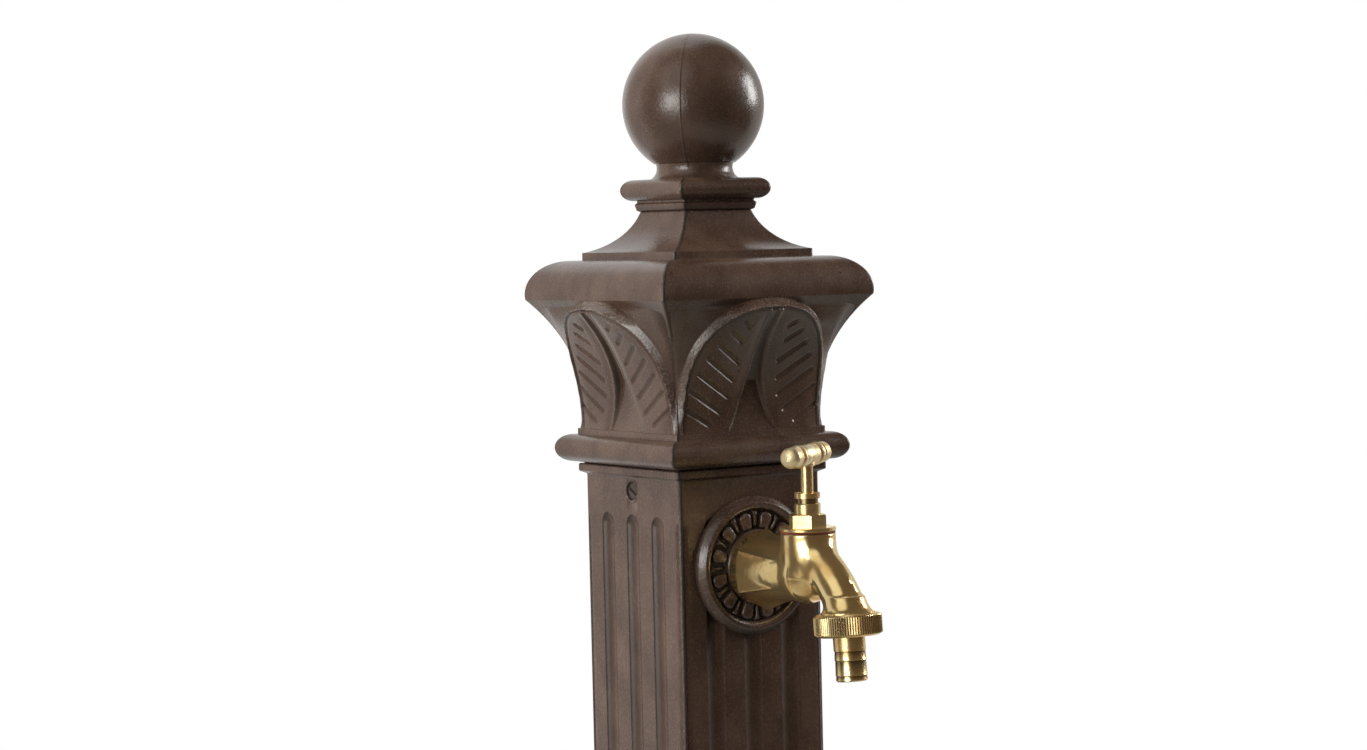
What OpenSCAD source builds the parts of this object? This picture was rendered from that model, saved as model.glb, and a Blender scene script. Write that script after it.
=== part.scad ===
// Garden standpipe: a square fluted column with a leaf capital and a ball,
// and a brass bib tap with a tee handle and a hose union on its front face.
// Millimetres, +Z up. The origin is the middle of the base on the ground,
// and the tap stands out towards -Y.

/* [Column] */
// Height from the ground to the top of the ball
total_h = 1000; // [900:10:1200]
// Width of the square shaft
shaft_w = 83; // [78:1:92]
// Wall of the hollow shaft
shaft_wall = 5; // [4:0.5:6]
// Radius of the shaft's corners
shaft_corner_r = 2; // [1:0.5:4]
// How far the lips at both ends of the shaft stand out
lip_out = 3; // [2:0.5:4]
// Height of a lip
lip_h = 4; // [3:0.5:6]

/* [Flutes] */
// Flutes on each face
flute_count = 3; // [1:1:3]
// Distance between neighbouring flutes
flute_pitch = 22; // [18:1:24]
// Width of a flute at the face
flute_w = 10.5; // [8:0.5:12]
// Depth of a flute
flute_depth = 2.2; // [1.5:0.1:2.6]
// Plain length of shaft above the flutes
flute_top_margin = 23.5; // [20:0.5:40]
// Plain length of shaft below the flutes
flute_bottom_margin = 40; // [30:1:80]

/* [Base] */
// Width of the foot
foot_w = 184; // [170:2:220]
// Thickness of the foot
foot_h = 14; // [12:1:18]
// Width of the plinth
plinth_w = 124; // [116:1:136]
// Height of the plinth
plinth_h = 40; // [30:1:60]
// Diameter of the roll on top of the plinth
plinth_roll_d = 14; // [10:1:18]
// Height of the hollow moulding above that roll
base_hollow_h = 22; // [16:1:30]
// Wall between the outside of the plinth and its cavity
base_wall = 14; // [10:1:18]
// Distance between neighbouring anchor holes
anchor_pitch = 150; // [144:1:156]
// Diameter of an anchor hole
anchor_d = 11; // [9:0.5:13]

/* [Capital] */
// Projection of the roll at the foot of the capital
roll_out = 11.5; // [9:0.5:14]
// Diameter of that roll
roll_d = 13.4; // [11:0.2:16]
// Height of the small fillet above the roll
fillet_h = 3; // [2:0.5:4]
// Height of the bell
bell_h = 64.4; // [58:0.2:72]
// Projection of the bell at its waist
waist_out = 0.9; // [0.5:0.1:2]
// Height of the waist above the bell's foot
waist_h = 12.5; // [9:0.5:16]
// Projection of the nose above the bell
nose_out = 21; // [18:0.5:24]
// Radius of the round above the nose
ovolo_r = 16.5; // [14:0.5:18]
// Height of the step on top of the round
step_h = 3.8; // [3:0.2:6]
// Height of the hollow roof
roof_h = 19.7; // [16:0.1:24]
// Width of the roof's flat top
roof_top_w = 40; // [36:1:44]
// Length of the spigots that hold the shaft
spigot_h = 28; // [24:1:36]
// Wall of those spigots
spigot_wall = 6; // [5:0.5:8]

/* [Leaves] */
// Projection of the leaf's tip beyond the shaft
leaf_tip_out = 25.5; // [23:0.5:27]
// Width of the rim round a leaf at its crown
leaf_rim_w = 6; // [4:0.5:8]
// How far the rim stands over the leaf
leaf_rim_h = 0.9; // [0.5:0.1:1.5]
// Cuts in each half of a leaf
vein_count = 7; // [4:1:7]
// Radius of a cut
vein_r = 1; // [0.6:0.1:1.3]
// Length of the longest cut
vein_l = 21; // [16:1:22]

/* [Finial] */
// Diameter of the ball
ball_d = 70; // [60:1:80]
// Diameter of the neck under the ball
neck_d = 37.5; // [32:0.5:40]
// Height of the ball's centre above the plate
ball_rise = 36.3; // [35:0.1:42]
// Width of the plate
plate_w = 54.4; // [50:0.2:60]
// Thickness of the plate
plate_h = 10.4; // [8:0.2:12]
// Width of the seat under the plate
seat_w = 43.2; // [42:0.2:46]
// Height of the seat
seat_h = 5.3; // [4:0.1:8]
// Diameter of the stud that holds the finial
stud_d = 10; // [8:1:12]

/* [Fixing screws] */
// Distance of the upper screws below the shaft's top
screw_drop = 11.8; // [10:0.2:14]
// Diameter of a screw
screw_d = 6; // [5:0.5:6]
// Diameter of a screw's head
screw_head_d = 9; // [8:0.5:10]
// Height of a screw's head
screw_head_h = 2; // [1.5:0.1:2.4]

/* [Water pipe] */
// Distance between the capital's spigot and the elbow's flange
elbow_gap = 2; // [1:0.5:14]
// Outer diameter of the riser pipe
riser_d = 21.3; // [18:0.1:22]
// Bore of the riser pipe
riser_bore = 16; // [13:0.5:16]
// Distance of the riser behind the front face
riser_depth = 33.5; // [32:0.5:38]
// Outer diameter of the elbow
elbow_d = 28; // [27:0.5:30]
// Diameter of the elbow's threaded sleeve
sleeve_d = 26; // [25:0.5:27]
// Bore of the threaded supply inlet
supply_bore = 18.6; // [17:0.1:19]
// Length of the supply socket
socket_h = 36; // [32:1:44]
// Height of the socket's mouth above the ground
socket_z = 4; // [2:1:8]
// Diameter of the locknut
locknut_d = 30.5; // [29.5:0.5:31]
// Thickness of the locknut
locknut_h = 4; // [3:0.5:5]

/* [Rosette] */
// Diameter of the rosette
rosette_d = 67.5; // [64:0.5:74]
// Height of the rosette's hub
rosette_hub_h = 5.9; // [5.6:0.1:7]
// Diameter of the hub
rosette_hub_d = 35.5; // [34:0.5:37]
// Width of the round rim
rosette_rim_w = 6.5; // [5:0.1:8]
// Eggs round the rosette
egg_count = 12; // [8:1:12]
// Width of an egg
egg_w = 6.4; // [5:0.1:7]

/* [Tap] */
// Diameter of the tap's inlet thread
inlet_d = 20.9; // [20:0.1:21]
// Length of the inlet thread
inlet_l = 16.5; // [14:0.5:18]
// Width of the hexagon across its corners at the rosette
hex_ac = 43; // [40:0.5:45]
// Distance of the spindle from the front face
spindle_reach = 46.3; // [44:0.1:50]
// Diameter of the upright barrel
barrel_d = 25.6; // [25:0.1:28]
// Height of the barrel's rim above the inlet
barrel_top = 17.2; // [16.5:0.1:20]
// Radius of the round belly
belly_r = 13.3; // [13:0.1:14]
// Radius of the spout's bend
spout_bend_r = 59; // [54:0.5:64]
// Diameter of the spout
spout_d = 18.6; // [17:0.2:20]
// Bore of the spout
spout_bore = 10.4; // [9:0.2:11]
// Distance of the outlet from the front face
outlet_reach = 75.8; // [74:0.1:80]
// Distance of the outlet below the inlet
outlet_drop = 16.9; // [15:0.1:19]
// Lean of the outlet away from the column, in degrees
outlet_lean = 5; // [0:0.5:8]

/* [Bonnet and spindle] */
// Diameter of the bonnet's thread
bonnet_thread_d = 19; // [18:0.1:20]
// Diameter of the bonnet's flange
bonnet_flange_d = 26; // [25:0.1:28]
// Thickness of that flange
bonnet_flange_h = 2.8; // [2:0.1:3.5]
// Width of the bonnet's hexagon across its flats
bonnet_af = 16; // [15:0.1:17]
// Height of that hexagon
bonnet_hex_h = 5.7; // [5:0.1:8]
// Diameter of the bonnet's neck
bonnet_neck_d = 12.6; // [12:0.1:14]
// Height of the bonnet's neck
bonnet_neck_h = 8.7; // [8:0.1:12]
// Height of the gland nut's head
gland_nut_h = 2.5; // [2:0.1:4]
// Diameter of the spindle
spindle_d = 6; // [5:0.1:6.4]
// Diameter of the spindle's thread
spindle_thread_d = 9.6; // [9:0.1:10]
// Lift of the valve between closed and open
valve_lift = 5; // [3:0.5:5]
// Diameter of the hole in the valve seat
seat_bore = 9; // [8:0.1:10]
// Thickness of the valve washer
valve_washer_h = 3; // [2:0.1:3.5]
// Height of the handle's axis above the gland nut
handle_rise = 17.8; // [14:0.1:24]
// Length of the tee handle
handle_l = 47; // [40:1:56]
// Diameter of the tee handle
handle_d = 10; // [9:0.1:11]
// Angle of the closed handle from the front face, in degrees
handle_angle = 32.7; // [0:0.1:90]

/* [Hose union] */
// Diameter of the outlet's thread
outlet_d = 26.2; // [25:0.1:26.4]
// Length of the outlet's thread
outlet_l = 5.6; // [5:0.1:8]
// Bore of the outlet
outlet_bore = 13; // [11:0.5:14]
// Outer diameter of the union nut
union_d = 32; // [31:0.5:36]
// Height of the union nut
union_h = 10.5; // [10:0.1:14]
// Thickness of the union's washer
union_washer_h = 1.5; // [1:0.1:2]
// Thickness of the hose tail's flange
tail_flange_h = 1.6; // [1.2:0.1:2]
// Diameter of the hose tail's barbs
tail_d = 15.2; // [14:0.1:16]
// Bore of the hose tail
tail_bore = 11; // [9:0.5:11.5]
// Length of the hose tail below the union nut
tail_l = 21; // [18:0.5:40]
// Barbs on the hose tail
barb_count = 3; // [2:1:5]

/* [Clearances] */
// Gap between a fixed piece and the piece it slips into
slip_gap = 0.3; // [0.1:0.05:0.4]
// Radial gap in a thread or a turning fit
thread_gap = 0.05; // [0.03:0.01:0.08]
// Open joint that shows as a dark line between two castings
joint_h = 1.1; // [0.6:0.1:2]

/* [Hidden] */
$fn = 96;

paint = [0.30, 0.24, 0.20];
cast_brass = [0.76, 0.63, 0.38];
turned_brass = [0.85, 0.74, 0.50];
plumbing_brass = [0.72, 0.60, 0.36];
steel = [0.66, 0.67, 0.68];
rubber = [0.12, 0.12, 0.12];
fibre = [0.52, 0.20, 0.14];

// Longer than any cut through the column
through = 2 * (foot_w + total_h);
half_w = shaft_w / 2;
inner_half_w = half_w - shaft_wall;
spigot_half_w = inner_half_w - slip_gap;
cavity_half_w = spigot_half_w - spigot_wall;

// Half-widths of the capital's mouldings
fillet_out = 2;
step_inset = 4.7;
roof_ledge = 0.6;
roof_fullness = 1.03;
roll_w = half_w + roll_out;
waist_w = half_w + waist_out;
fillet_w = waist_w + fillet_out;
nose_w = half_w + nose_out;
ovolo_w = nose_w - ovolo_r;
step_w = ovolo_w - step_inset;
roof_foot_w = step_w - roof_ledge;

// Levels of the mouldings above the shaft's top
nose_drop = 2.5;
roll_z = joint_h;
fillet_z = roll_z + roll_d;
bell_z = fillet_z + fillet_h;
nose_z = bell_z + bell_h;
step_z = nose_z + nose_drop + ovolo_r;
roof_z = step_z + step_h;
capital_h = roof_z + roof_h;
cavity_z = nose_z + nose_drop;
arris_w = ovolo_w + sqrt(ovolo_r * ovolo_r - nose_drop * nose_drop);
bell_r = arc_radius(bell_h - waist_h, arris_w - waist_w);
roof_r = roof_fullness * norm([roof_foot_w - roof_top_w / 2, roof_h]);

// Levels of the base's mouldings above the ground
plinth_z = foot_h;
plinth_roll_z = plinth_z + plinth_h;
base_hollow_z = plinth_roll_z + plinth_roll_d;
base_fillet_z = base_hollow_z + base_hollow_h;
base_roll_z = base_fillet_z + fillet_h;
base_h = base_roll_z + roll_d + joint_h;
web_h = 10;
plinth_roll_out = 3;
base_hollow_set = 4;
base_hollow_out = 2;
base_fillet_out = 3;
base_cavity_w = plinth_w - 2 * base_wall;

// Levels of the whole column
finial_h = seat_h + plate_h + ball_rise + ball_d / 2;
capital_base_z = total_h - finial_h - capital_h;
finial_z = capital_base_z + capital_h;
shaft_l = capital_base_z - base_h;
sleeve_flange_out = 5;
sleeve_flange_d = sleeve_d + 2 * sleeve_flange_out;
tap_drop = spigot_h + elbow_gap + sleeve_flange_d / 2;
tap_z = capital_base_z - tap_drop;
lip_slope = 1;

// A leaf: its face is an arc that leaves the bell's foot upright and ends at the tip
leaf_foot_out = 1.2;
leaf_foot_rise = 2;
leaf_foot_w = waist_w + leaf_foot_out;
leaf_foot_z = bell_z + leaf_foot_rise;
leaf_tip_w = half_w + leaf_tip_out;
leaf_tip_r = 4;
leaf_r = arc_radius(nose_z - leaf_rim_w - leaf_foot_z, leaf_tip_w - leaf_foot_w);
leaf_side_inset = 0.4;
arch_r = waist_w - leaf_side_inset;
arch_z = nose_z - arch_r;
leaf_rim_side_w = 4.5;
leaf_rim_foot_w = 1.6;
arch_inner_r = arch_r - leaf_rim_side_w;
arch_inner_z = nose_z - leaf_rim_w - arch_inner_r;
rib_top_half_w = 2;
rib_foot_half_w = 13;
rib_top_gap = 1.5;
rib_straight_h = 12;
rib_top_z = nose_z - leaf_rim_w - rib_top_gap;
rib_waist_z = rib_top_z - rib_straight_h;
rib_r = arc_radius(rib_waist_z - bell_z, rib_foot_half_w - rib_top_half_w);
vein_slope = 31;
vein_first_angle = 66;
vein_angle_step = 12;
vein_root_inset = 1.5;
vein_root_drop = 5;
// The cuts' lengths follow a sine from the first cut to the last
vein_sine_first = 18;
vein_sine_step = 22;

// Neck of the finial: a hollow ring of this radius
neck_hollow_r = 6;
neck_rise = 5.3;
neck_z = seat_h + plate_h + neck_rise;
stud_depth = 24;
finial_washer_h = 2;
finial_nut_h = 8;
finial_washer_d = 2.2 * stud_d;
finial_nut_af = 1.7 * stud_d;
stud_tail = 3;
stud_below = finial_washer_h + finial_nut_h + stud_tail;
roof_thickness = capital_h - cavity_z;

// Water way, measured from the front face and the tap's inlet
sleeve_flange_h = 4;
elbow_washer_h = 1;
sleeve_end = locknut_h + slip_gap;
elbow_seat = shaft_wall + elbow_washer_h;
elbow_leg = 28.5;
inlet_room = 2;
pipe_engagement = 14;
pipe_stop_h = 2;
riser_y = riser_depth - half_w;
riser_top = tap_z - elbow_leg + pipe_engagement;
riser_foot = socket_z + socket_h - pipe_engagement;
screw_l = shaft_wall + spigot_wall;
screw_recess_gap = 0.7;
screw_recess_d = screw_head_d + 2 * screw_recess_gap;

// Rosette
rosette_floor_h = rosette_hub_h / 3;
egg_margin = 0.6;
dart_w = 1.6;
dart_h = 1.6;

// Tap body
hex_back = -rosette_hub_h;
hex_l = 23.1;
hex_front_y = hex_back - hex_l;
hex_front_out = 0.5;
hex_front_ac = 2 * (belly_r + hex_front_out);
neck_taper = 1.4;
neck_r = belly_r + neck_taper;
inlet_end_y = hex_front_y + 5;
seat_z = -1.5;
seat_web_h = 2.4;
chamber_d = bonnet_thread_d + 2 * thread_gap;
lower_chamber_r = 7;
inlet_bore = 13;
passage_r = 3.2;
lower_chamber_h = 2 * passage_r;
passage_z = seat_z - seat_web_h - passage_r;
spout_end_angle = 60;
spout_start_angle = 22;
spout_bore_angle = 28;
spout_end_rise = 1;
spout_end = [-outlet_reach, -outlet_drop + spout_end_rise];
spout_centre = spout_end + spout_bend_r * [sin(spout_end_angle), -cos(spout_end_angle)];
flare_h = 6;
flare_sink = 1.3;
flare_top_d = spout_d - 2 * flare_sink;
bend_room = 0.2;

// Bonnet, spindle and valve, upwards from the inlet's axis
bonnet_washer_h = 0.8;
flange_z = barrel_top + bonnet_washer_h;
bonnet_hex_z = flange_z + bonnet_flange_h;
bonnet_neck_z = bonnet_hex_z + bonnet_hex_h;
gland_z = bonnet_neck_z + bonnet_neck_h;
handle_z = gland_z + gland_nut_h + handle_rise;
neck_undercut = 0.7;
gland_wall = 1.1;
gland_bore = bonnet_neck_d - 2 * neck_undercut - 2 * gland_wall;
gland_nut_d = bonnet_neck_d - 0.4;
gland_floor_h = 1.5;
gland_floor_z = bonnet_neck_z + gland_floor_h;
gland_skirt_h = 2.4;
valve_plate_h = 2;
valve_plate_z = seat_z + valve_washer_h;
valve_top_z = valve_plate_z + valve_plate_h;
seat_land = 2;
valve_plate_d = seat_bore + 2 * seat_land;
valve_washer_d = valve_plate_d - 0.4;
valve_stem_d = 4;
valve_stem_h = 10;
stem_room = 1;
valve_nut_h = 1.5;
valve_nut_gap = 1.5;
valve_nut_ac = seat_bore - 2 * valve_nut_gap;
valve_stud_d = 3;
lift_room = 0.4;
bonnet_foot_z = valve_top_z + valve_lift + lift_room;
spindle_foot_z = valve_top_z + thread_gap;
shoulder_h = 1;
spindle_shoulder_z = bonnet_neck_z - shoulder_h - valve_lift - lift_room;
tenon_shoulder = 0.6;
tenon_d = spindle_d - 2 * tenon_shoulder;
tenon_h = 3.6;
stem_sink = 0.6;
stem_top_z = handle_z - handle_d / 2 + stem_sink;

// Hose union, downwards from the union nut's top
union_seat_z = -outlet_l;
tail_flange_z = union_seat_z - union_washer_h;
union_floor_z = tail_flange_z - tail_flange_h;
tail_flange_d = outlet_d - 2 * slip_gap;
barb_h = 0.45;
tail_root_d = tail_d - 2 * barb_h;
tail_foot_z = -union_h - tail_l;
barb_pitch = tail_l / barb_count;
barb_land_h = 1;
barb_l = 0.6 * barb_pitch;
knurl_chamfer = 0.5;

// Radius of an arc that starts along its height and has run out by out after rise
function arc_radius(rise, out) = (rise * rise + out * out) / (2 * out);

// Centre of the arc of radius r through a and b, on the right of the way from a to b
function arc_centre(a, b, r) =
    let (chord = b - a, half = norm(chord) / 2, side = sqrt(r * r - half * half))
    (a + b) / 2 + side * [chord.y, -chord.x] / norm(chord);

// Half-width of a leaf's face at a height above the shaft's top
function leaf_face(z) =
    leaf_foot_w + leaf_r - sqrt(leaf_r * leaf_r - (z - leaf_foot_z) * (z - leaf_foot_z));

// Point on a leaf's face, across it and up it
function on_leaf(across, z) = [across, -leaf_face(z), z];

module both_sides() {
    children();
    mirror([1, 0]) children();
}

// A square moulding with mitred corners, from one profile of half-width and height
module mitred() {
    intersection() {
        rotate([90, 0, 0]) linear_extrude(through, center = true) both_sides() children();
        rotate([90, 0, 90]) linear_extrude(through, center = true) both_sides() children();
    }
}

module rounded_square(w, r) {
    square([w, w - 2 * r], center = true);
    square([w - 2 * r, w], center = true);
    for (x = [-1, 1], y = [-1, 1]) translate([x, y] * (w / 2 - r)) circle(r);
}

// Profile of a half-round moulding that ends at half-width w
module roll_profile(w, d) {
    square([w - d / 2, d]);
    translate([w - d / 2, d / 2]) circle(d = d);
}

module square_tube(half, hollow_half, h) {
    translate([-half, -half, 0]) difference() {
        cube([2 * half, 2 * half, h]);
        translate([half - hollow_half, half - hollow_half, -1])
            cube([2 * hollow_half, 2 * hollow_half, h + 2]);
    }
}

// A rod with round ends, standing on the origin
module capsule(r, l) {
    rotate_extrude() intersection() {
        union() {
            translate([0, r]) circle(r);
            translate([0, l - r]) circle(r);
            translate([-r, r]) square([2 * r, l - 2 * r]);
        }
        square([r, l]);
    }
}

module rod_between(a, b, r) {
    way = b - a;
    translate(a)
        rotate([0, acos(way.z / norm(way)), atan2(way.y, way.x)])
        cylinder(r = r, h = norm(way));
}

module ring(outer_d, inner_d, h) {
    difference() {
        cylinder(d = outer_d, h = h);
        translate([0, 0, -1]) cylinder(d = inner_d, h = h + 2);
    }
}

module hexagon(af, h) {
    cylinder(d = af / cos(30), h = h, $fn = 6);
}

// A hexagon that narrows along its axis, with two flats to the sides
module tapered_hexagon(ac_0, ac_1, h) {
    flat_0 = ac_0 / 2 * cos(30);
    flat_1 = ac_1 / 2 * cos(30);
    intersection_for (turn = [0, 60, 120]) rotate(turn) rotate([90, 0, 0])
        linear_extrude(4 * ac_0, center = true)
        polygon([[-flat_0, 0], [flat_0, 0], [flat_1, h], [-flat_1, h]]);
}

// A round bar along Y, from y_back forwards to y_front
module bar_forward(d, y_back, y_front) {
    translate([0, y_back, 0]) rotate([90, 0, 0]) cylinder(d = d, h = y_back - y_front);
}

// The tap's inlet axis, where it meets the shaft's front face
module at_tap() {
    translate([0, -half_w, tap_z]) children();
}

module at_spindle() {
    at_tap() translate([0, -spindle_reach, 0]) children();
}

module at_outlet() {
    at_tap() translate([0, -outlet_reach, -outlet_drop]) rotate([-outlet_lean, 0, 0]) children();
}

// Fixing screws in the two side faces at a height
module at_side_screws(z) {
    for (side = [-90, 90]) rotate(side) translate([0, -half_w, z]) rotate([90, 0, 0]) children();
}

module lip_profile() {
    polygon([
        [0, -lip_slope], [half_w, -lip_slope], [half_w + lip_out, 0], [half_w + lip_out, lip_h], [0, lip_h]
    ]);
}

module base_profile() {
    hollow_out_w = plinth_w / 2 - base_hollow_set;
    hollow_in_w = fillet_w + base_hollow_out;
    hollow_r = arc_radius(base_hollow_h, hollow_out_w - hollow_in_w);
    foot_round = foot_h / 2;
    square([foot_w / 2 - foot_round, foot_h]);
    square([foot_w / 2, foot_h - foot_round]);
    translate([foot_w / 2 - foot_round, foot_h - foot_round]) circle(foot_round);
    translate([0, plinth_z]) square([plinth_w / 2, plinth_h]);
    translate([0, plinth_roll_z]) roll_profile(plinth_w / 2 + plinth_roll_out, plinth_roll_d);
    translate([0, base_hollow_z]) difference() {
        square([hollow_out_w, base_hollow_h]);
        translate([hollow_in_w + hollow_r, base_hollow_h]) circle(hollow_r);
    }
    translate([0, base_fillet_z]) square([fillet_w + base_fillet_out, fillet_h]);
    translate([0, base_roll_z]) roll_profile(roll_w, roll_d);
    translate([0, base_roll_z + roll_d]) square([waist_w, joint_h]);
}

// Cast base: open below, with a web that steadies the riser and a spigot for the shaft
module base() {
    web_z = base_h - web_h;
    color(paint) difference() {
        union() {
            mitred() base_profile();
            translate([0, 0, base_h]) square_tube(spigot_half_w, cavity_half_w, spigot_h);
        }
        translate([-base_cavity_w / 2, -base_cavity_w / 2, -1])
            cube([base_cavity_w, base_cavity_w, base_hollow_z + 1]);
        translate([-cavity_half_w, -cavity_half_w, 0])
            cube([2 * cavity_half_w, 2 * cavity_half_w, web_z]);
        translate([0, riser_y, 0]) cylinder(d = riser_d + 2 * slip_gap, h = base_h + 1);
        for (x = [-1, 1], y = [-1, 1])
            translate([x, y, 0] * anchor_pitch / 2) translate([0, 0, -1])
                cylinder(d = anchor_d, h = foot_h + 2);
        at_side_screws(base_h + screw_drop) translate([0, 0, -screw_l - 1])
            cylinder(d = screw_d + 2 * thread_gap, h = screw_l);
    }
}

module flute(l) {
    r = (flute_w * flute_w / 4 + flute_depth * flute_depth) / (2 * flute_depth);
    translate([0, -half_w - r + flute_depth, 0]) capsule(r, l);
}

// Cast hollow shaft with a lip at each end
module shaft() {
    flute_l = shaft_l - flute_top_margin - flute_bottom_margin;
    color(paint) difference() {
        translate([0, 0, base_h]) union() {
            linear_extrude(shaft_l) rounded_square(shaft_w, shaft_corner_r);
            translate([0, 0, shaft_l - lip_h]) mitred() lip_profile();
            translate([0, 0, lip_h]) mirror([0, 0, 1]) mitred() lip_profile();
        }
        translate([-inner_half_w, -inner_half_w, base_h - 1])
            cube([2 * inner_half_w, 2 * inner_half_w, shaft_l + 2]);
        for (face = [0 : 90 : 270], n = [0 : flute_count - 1])
            rotate(face)
                translate([(n - (flute_count - 1) / 2) * flute_pitch, 0, base_h + flute_bottom_margin])
                flute(flute_l);
        at_tap() bar_forward(sleeve_d + 2 * slip_gap, shaft_wall + 1, -1);
        for (z = [base_h + screw_drop, capital_base_z - screw_drop]) at_side_screws(z) {
            translate([0, 0, -screw_l]) cylinder(d = screw_d + 2 * slip_gap, h = screw_l + 1);
            translate([0, 0, -screw_head_h]) cylinder(d = screw_recess_d, h = screw_head_h + 1);
        }
    }
}

// Round-headed screws through the shaft into a spigot
module side_screws(z) {
    at_side_screws(z) {
        translate([0, 0, -screw_head_h]) cylinder(d = screw_head_d, h = screw_head_h);
        translate([0, 0, -screw_l]) cylinder(d = screw_d, h = screw_l);
    }
}

module shaft_screws() {
    color(paint) side_screws(base_h + screw_drop);
}

module capital_screws() {
    color(paint) side_screws(capital_base_z - screw_drop);
}

module capital_profile() {
    roof_foot = [roof_foot_w, 0];
    roof_top = [roof_top_w / 2, roof_h];
    square([waist_w, joint_h]);
    translate([0, roll_z]) roll_profile(roll_w, roll_d);
    translate([0, fillet_z]) square([fillet_w, fillet_h]);
    translate([0, bell_z]) difference() {
        square([arris_w, bell_h]);
        translate([waist_w + bell_r, waist_h]) circle(bell_r);
    }
    translate([0, nose_z]) {
        square([ovolo_w, nose_drop + ovolo_r]);
        intersection() {
            translate([ovolo_w, nose_drop]) circle(ovolo_r);
            square([nose_w, nose_drop + ovolo_r]);
        }
    }
    translate([0, step_z]) square([step_w, step_h]);
    translate([0, roof_z]) difference() {
        square([step_w, roof_h]);
        translate(arc_centre(roof_foot, roof_top, roof_r)) circle(roof_r);
    }
}

// Section of a leaf with its rolled tip, standing over by the given height
module leaf_section(over) {
    tip_w = leaf_tip_w + over;
    difference() {
        translate([0, bell_z]) union() {
            square([tip_w, bell_h - leaf_tip_r]);
            square([tip_w - leaf_tip_r, bell_h]);
            translate([tip_w - leaf_tip_r, bell_h - leaf_tip_r]) circle(leaf_tip_r);
        }
        translate([leaf_foot_w + leaf_r, leaf_foot_z]) circle(leaf_r - over);
    }
}

module leaf_arch() {
    translate([0, arch_z]) circle(arch_r);
    translate([-arch_r, bell_z]) square([2 * arch_r, arch_z - bell_z]);
}

module leaf_inner_arch() {
    foot_half_w = arch_r - leaf_rim_foot_w;
    translate([0, arch_inner_z]) circle(arch_inner_r);
    polygon([
        [-foot_half_w, bell_z - 1], [foot_half_w, bell_z - 1],
        [arch_inner_r, arch_inner_z], [-arch_inner_r, arch_inner_z]
    ]);
}

// Hollow between the two halves of a leaf, wide at its foot
module leaf_hollow() {
    difference() {
        translate([-2 * rib_foot_half_w, bell_z - 1])
            square([4 * rib_foot_half_w, rib_top_z - bell_z + 1]);
        both_sides() {
            translate([rib_top_half_w + rib_r, rib_waist_z]) circle(rib_r);
            translate([rib_top_half_w, rib_waist_z]) square([2 * rib_foot_half_w, rib_top_z]);
        }
    }
}

module leaf_veins() {
    root_r = arch_inner_r - vein_root_inset;
    root_z = arch_inner_z - vein_root_drop;
    for (n = [0 : vein_count - 1], side = [-1, 1]) {
        angle = vein_first_angle - vein_angle_step * n;
        l = vein_l * sin(vein_sine_first + vein_sine_step * n);
        from = [root_r * cos(angle), root_z + root_r * sin(angle)];
        to = from - l * [cos(vein_slope), sin(vein_slope)];
        rod_between(on_leaf(side * from.x, from.y), on_leaf(side * to.x, to.y), vein_r);
    }
}

module leaf_slab(over) {
    rotate([90, 0, -90]) linear_extrude(3 * arch_r, center = true) leaf_section(over);
}

module leaf_prism() {
    rotate([90, 0, 0]) linear_extrude(2 * leaf_tip_w) children();
}

// One leaf against the front of the bell: two cut halves inside a raised rim
module leaf() {
    difference() {
        intersection() {
            leaf_slab(0);
            leaf_prism() leaf_arch();
        }
        leaf_prism() leaf_hollow();
        leaf_veins();
    }
    intersection() {
        leaf_slab(leaf_rim_h);
        leaf_prism() difference() {
            leaf_arch();
            leaf_inner_arch();
        }
    }
}

// Cast capital: mouldings and four leaves, hollow, with a spigot inside the shaft
module capital() {
    color(paint) translate([0, 0, capital_base_z]) difference() {
        union() {
            mitred() capital_profile();
            for (face = [0 : 90 : 270]) rotate(face) leaf();
            translate([0, 0, -spigot_h]) square_tube(spigot_half_w, cavity_half_w, spigot_h + 1);
        }
        translate([-cavity_half_w, -cavity_half_w, -spigot_h - 1])
            cube([2 * cavity_half_w, 2 * cavity_half_w, spigot_h + cavity_z + 1]);
        cylinder(d = stud_d + 2 * slip_gap, h = capital_h + 1);
        at_side_screws(-screw_drop) translate([0, 0, -screw_l - 1])
            cylinder(d = screw_d + 2 * thread_gap, h = screw_l);
    }
}

module finial_profile() {
    square([seat_w / 2, seat_h]);
    translate([0, seat_h]) roll_profile(plate_w / 2, plate_h);
}

// Cast ball on a hollow neck, a round-edged plate and a seat
module finial() {
    neck_foot = seat_h + plate_h;
    ball_z = neck_foot + ball_rise;
    color(paint) translate([0, 0, finial_z]) difference() {
        union() {
            mitred() finial_profile();
            rotate_extrude() difference() {
                translate([0, neck_foot - 1]) square([neck_d / 2 + neck_hollow_r / 2, ball_rise / 3]);
                translate([neck_d / 2 + neck_hollow_r, neck_z]) circle(neck_hollow_r);
            }
            translate([0, 0, ball_z]) sphere(d = ball_d);
        }
        translate([0, 0, -1]) cylinder(d = stud_d + 2 * thread_gap, h = stud_depth + 1);
    }
}

module finial_stud() {
    l = stud_depth + roof_thickness + stud_below;
    color(steel) translate([0, 0, finial_z + stud_depth - l]) cylinder(d = stud_d, h = l);
}

module finial_washer() {
    color(steel) translate([0, 0, capital_base_z + cavity_z - finial_washer_h])
        ring(finial_washer_d, stud_d + 2 * slip_gap, finial_washer_h);
}

module finial_nut() {
    color(steel) translate([0, 0, capital_base_z + cavity_z - finial_washer_h - finial_nut_h])
        difference() {
            hexagon(finial_nut_af, finial_nut_h);
            translate([0, 0, -1]) cylinder(d = stud_d + 2 * thread_gap, h = finial_nut_h + 2);
        }
}

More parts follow.
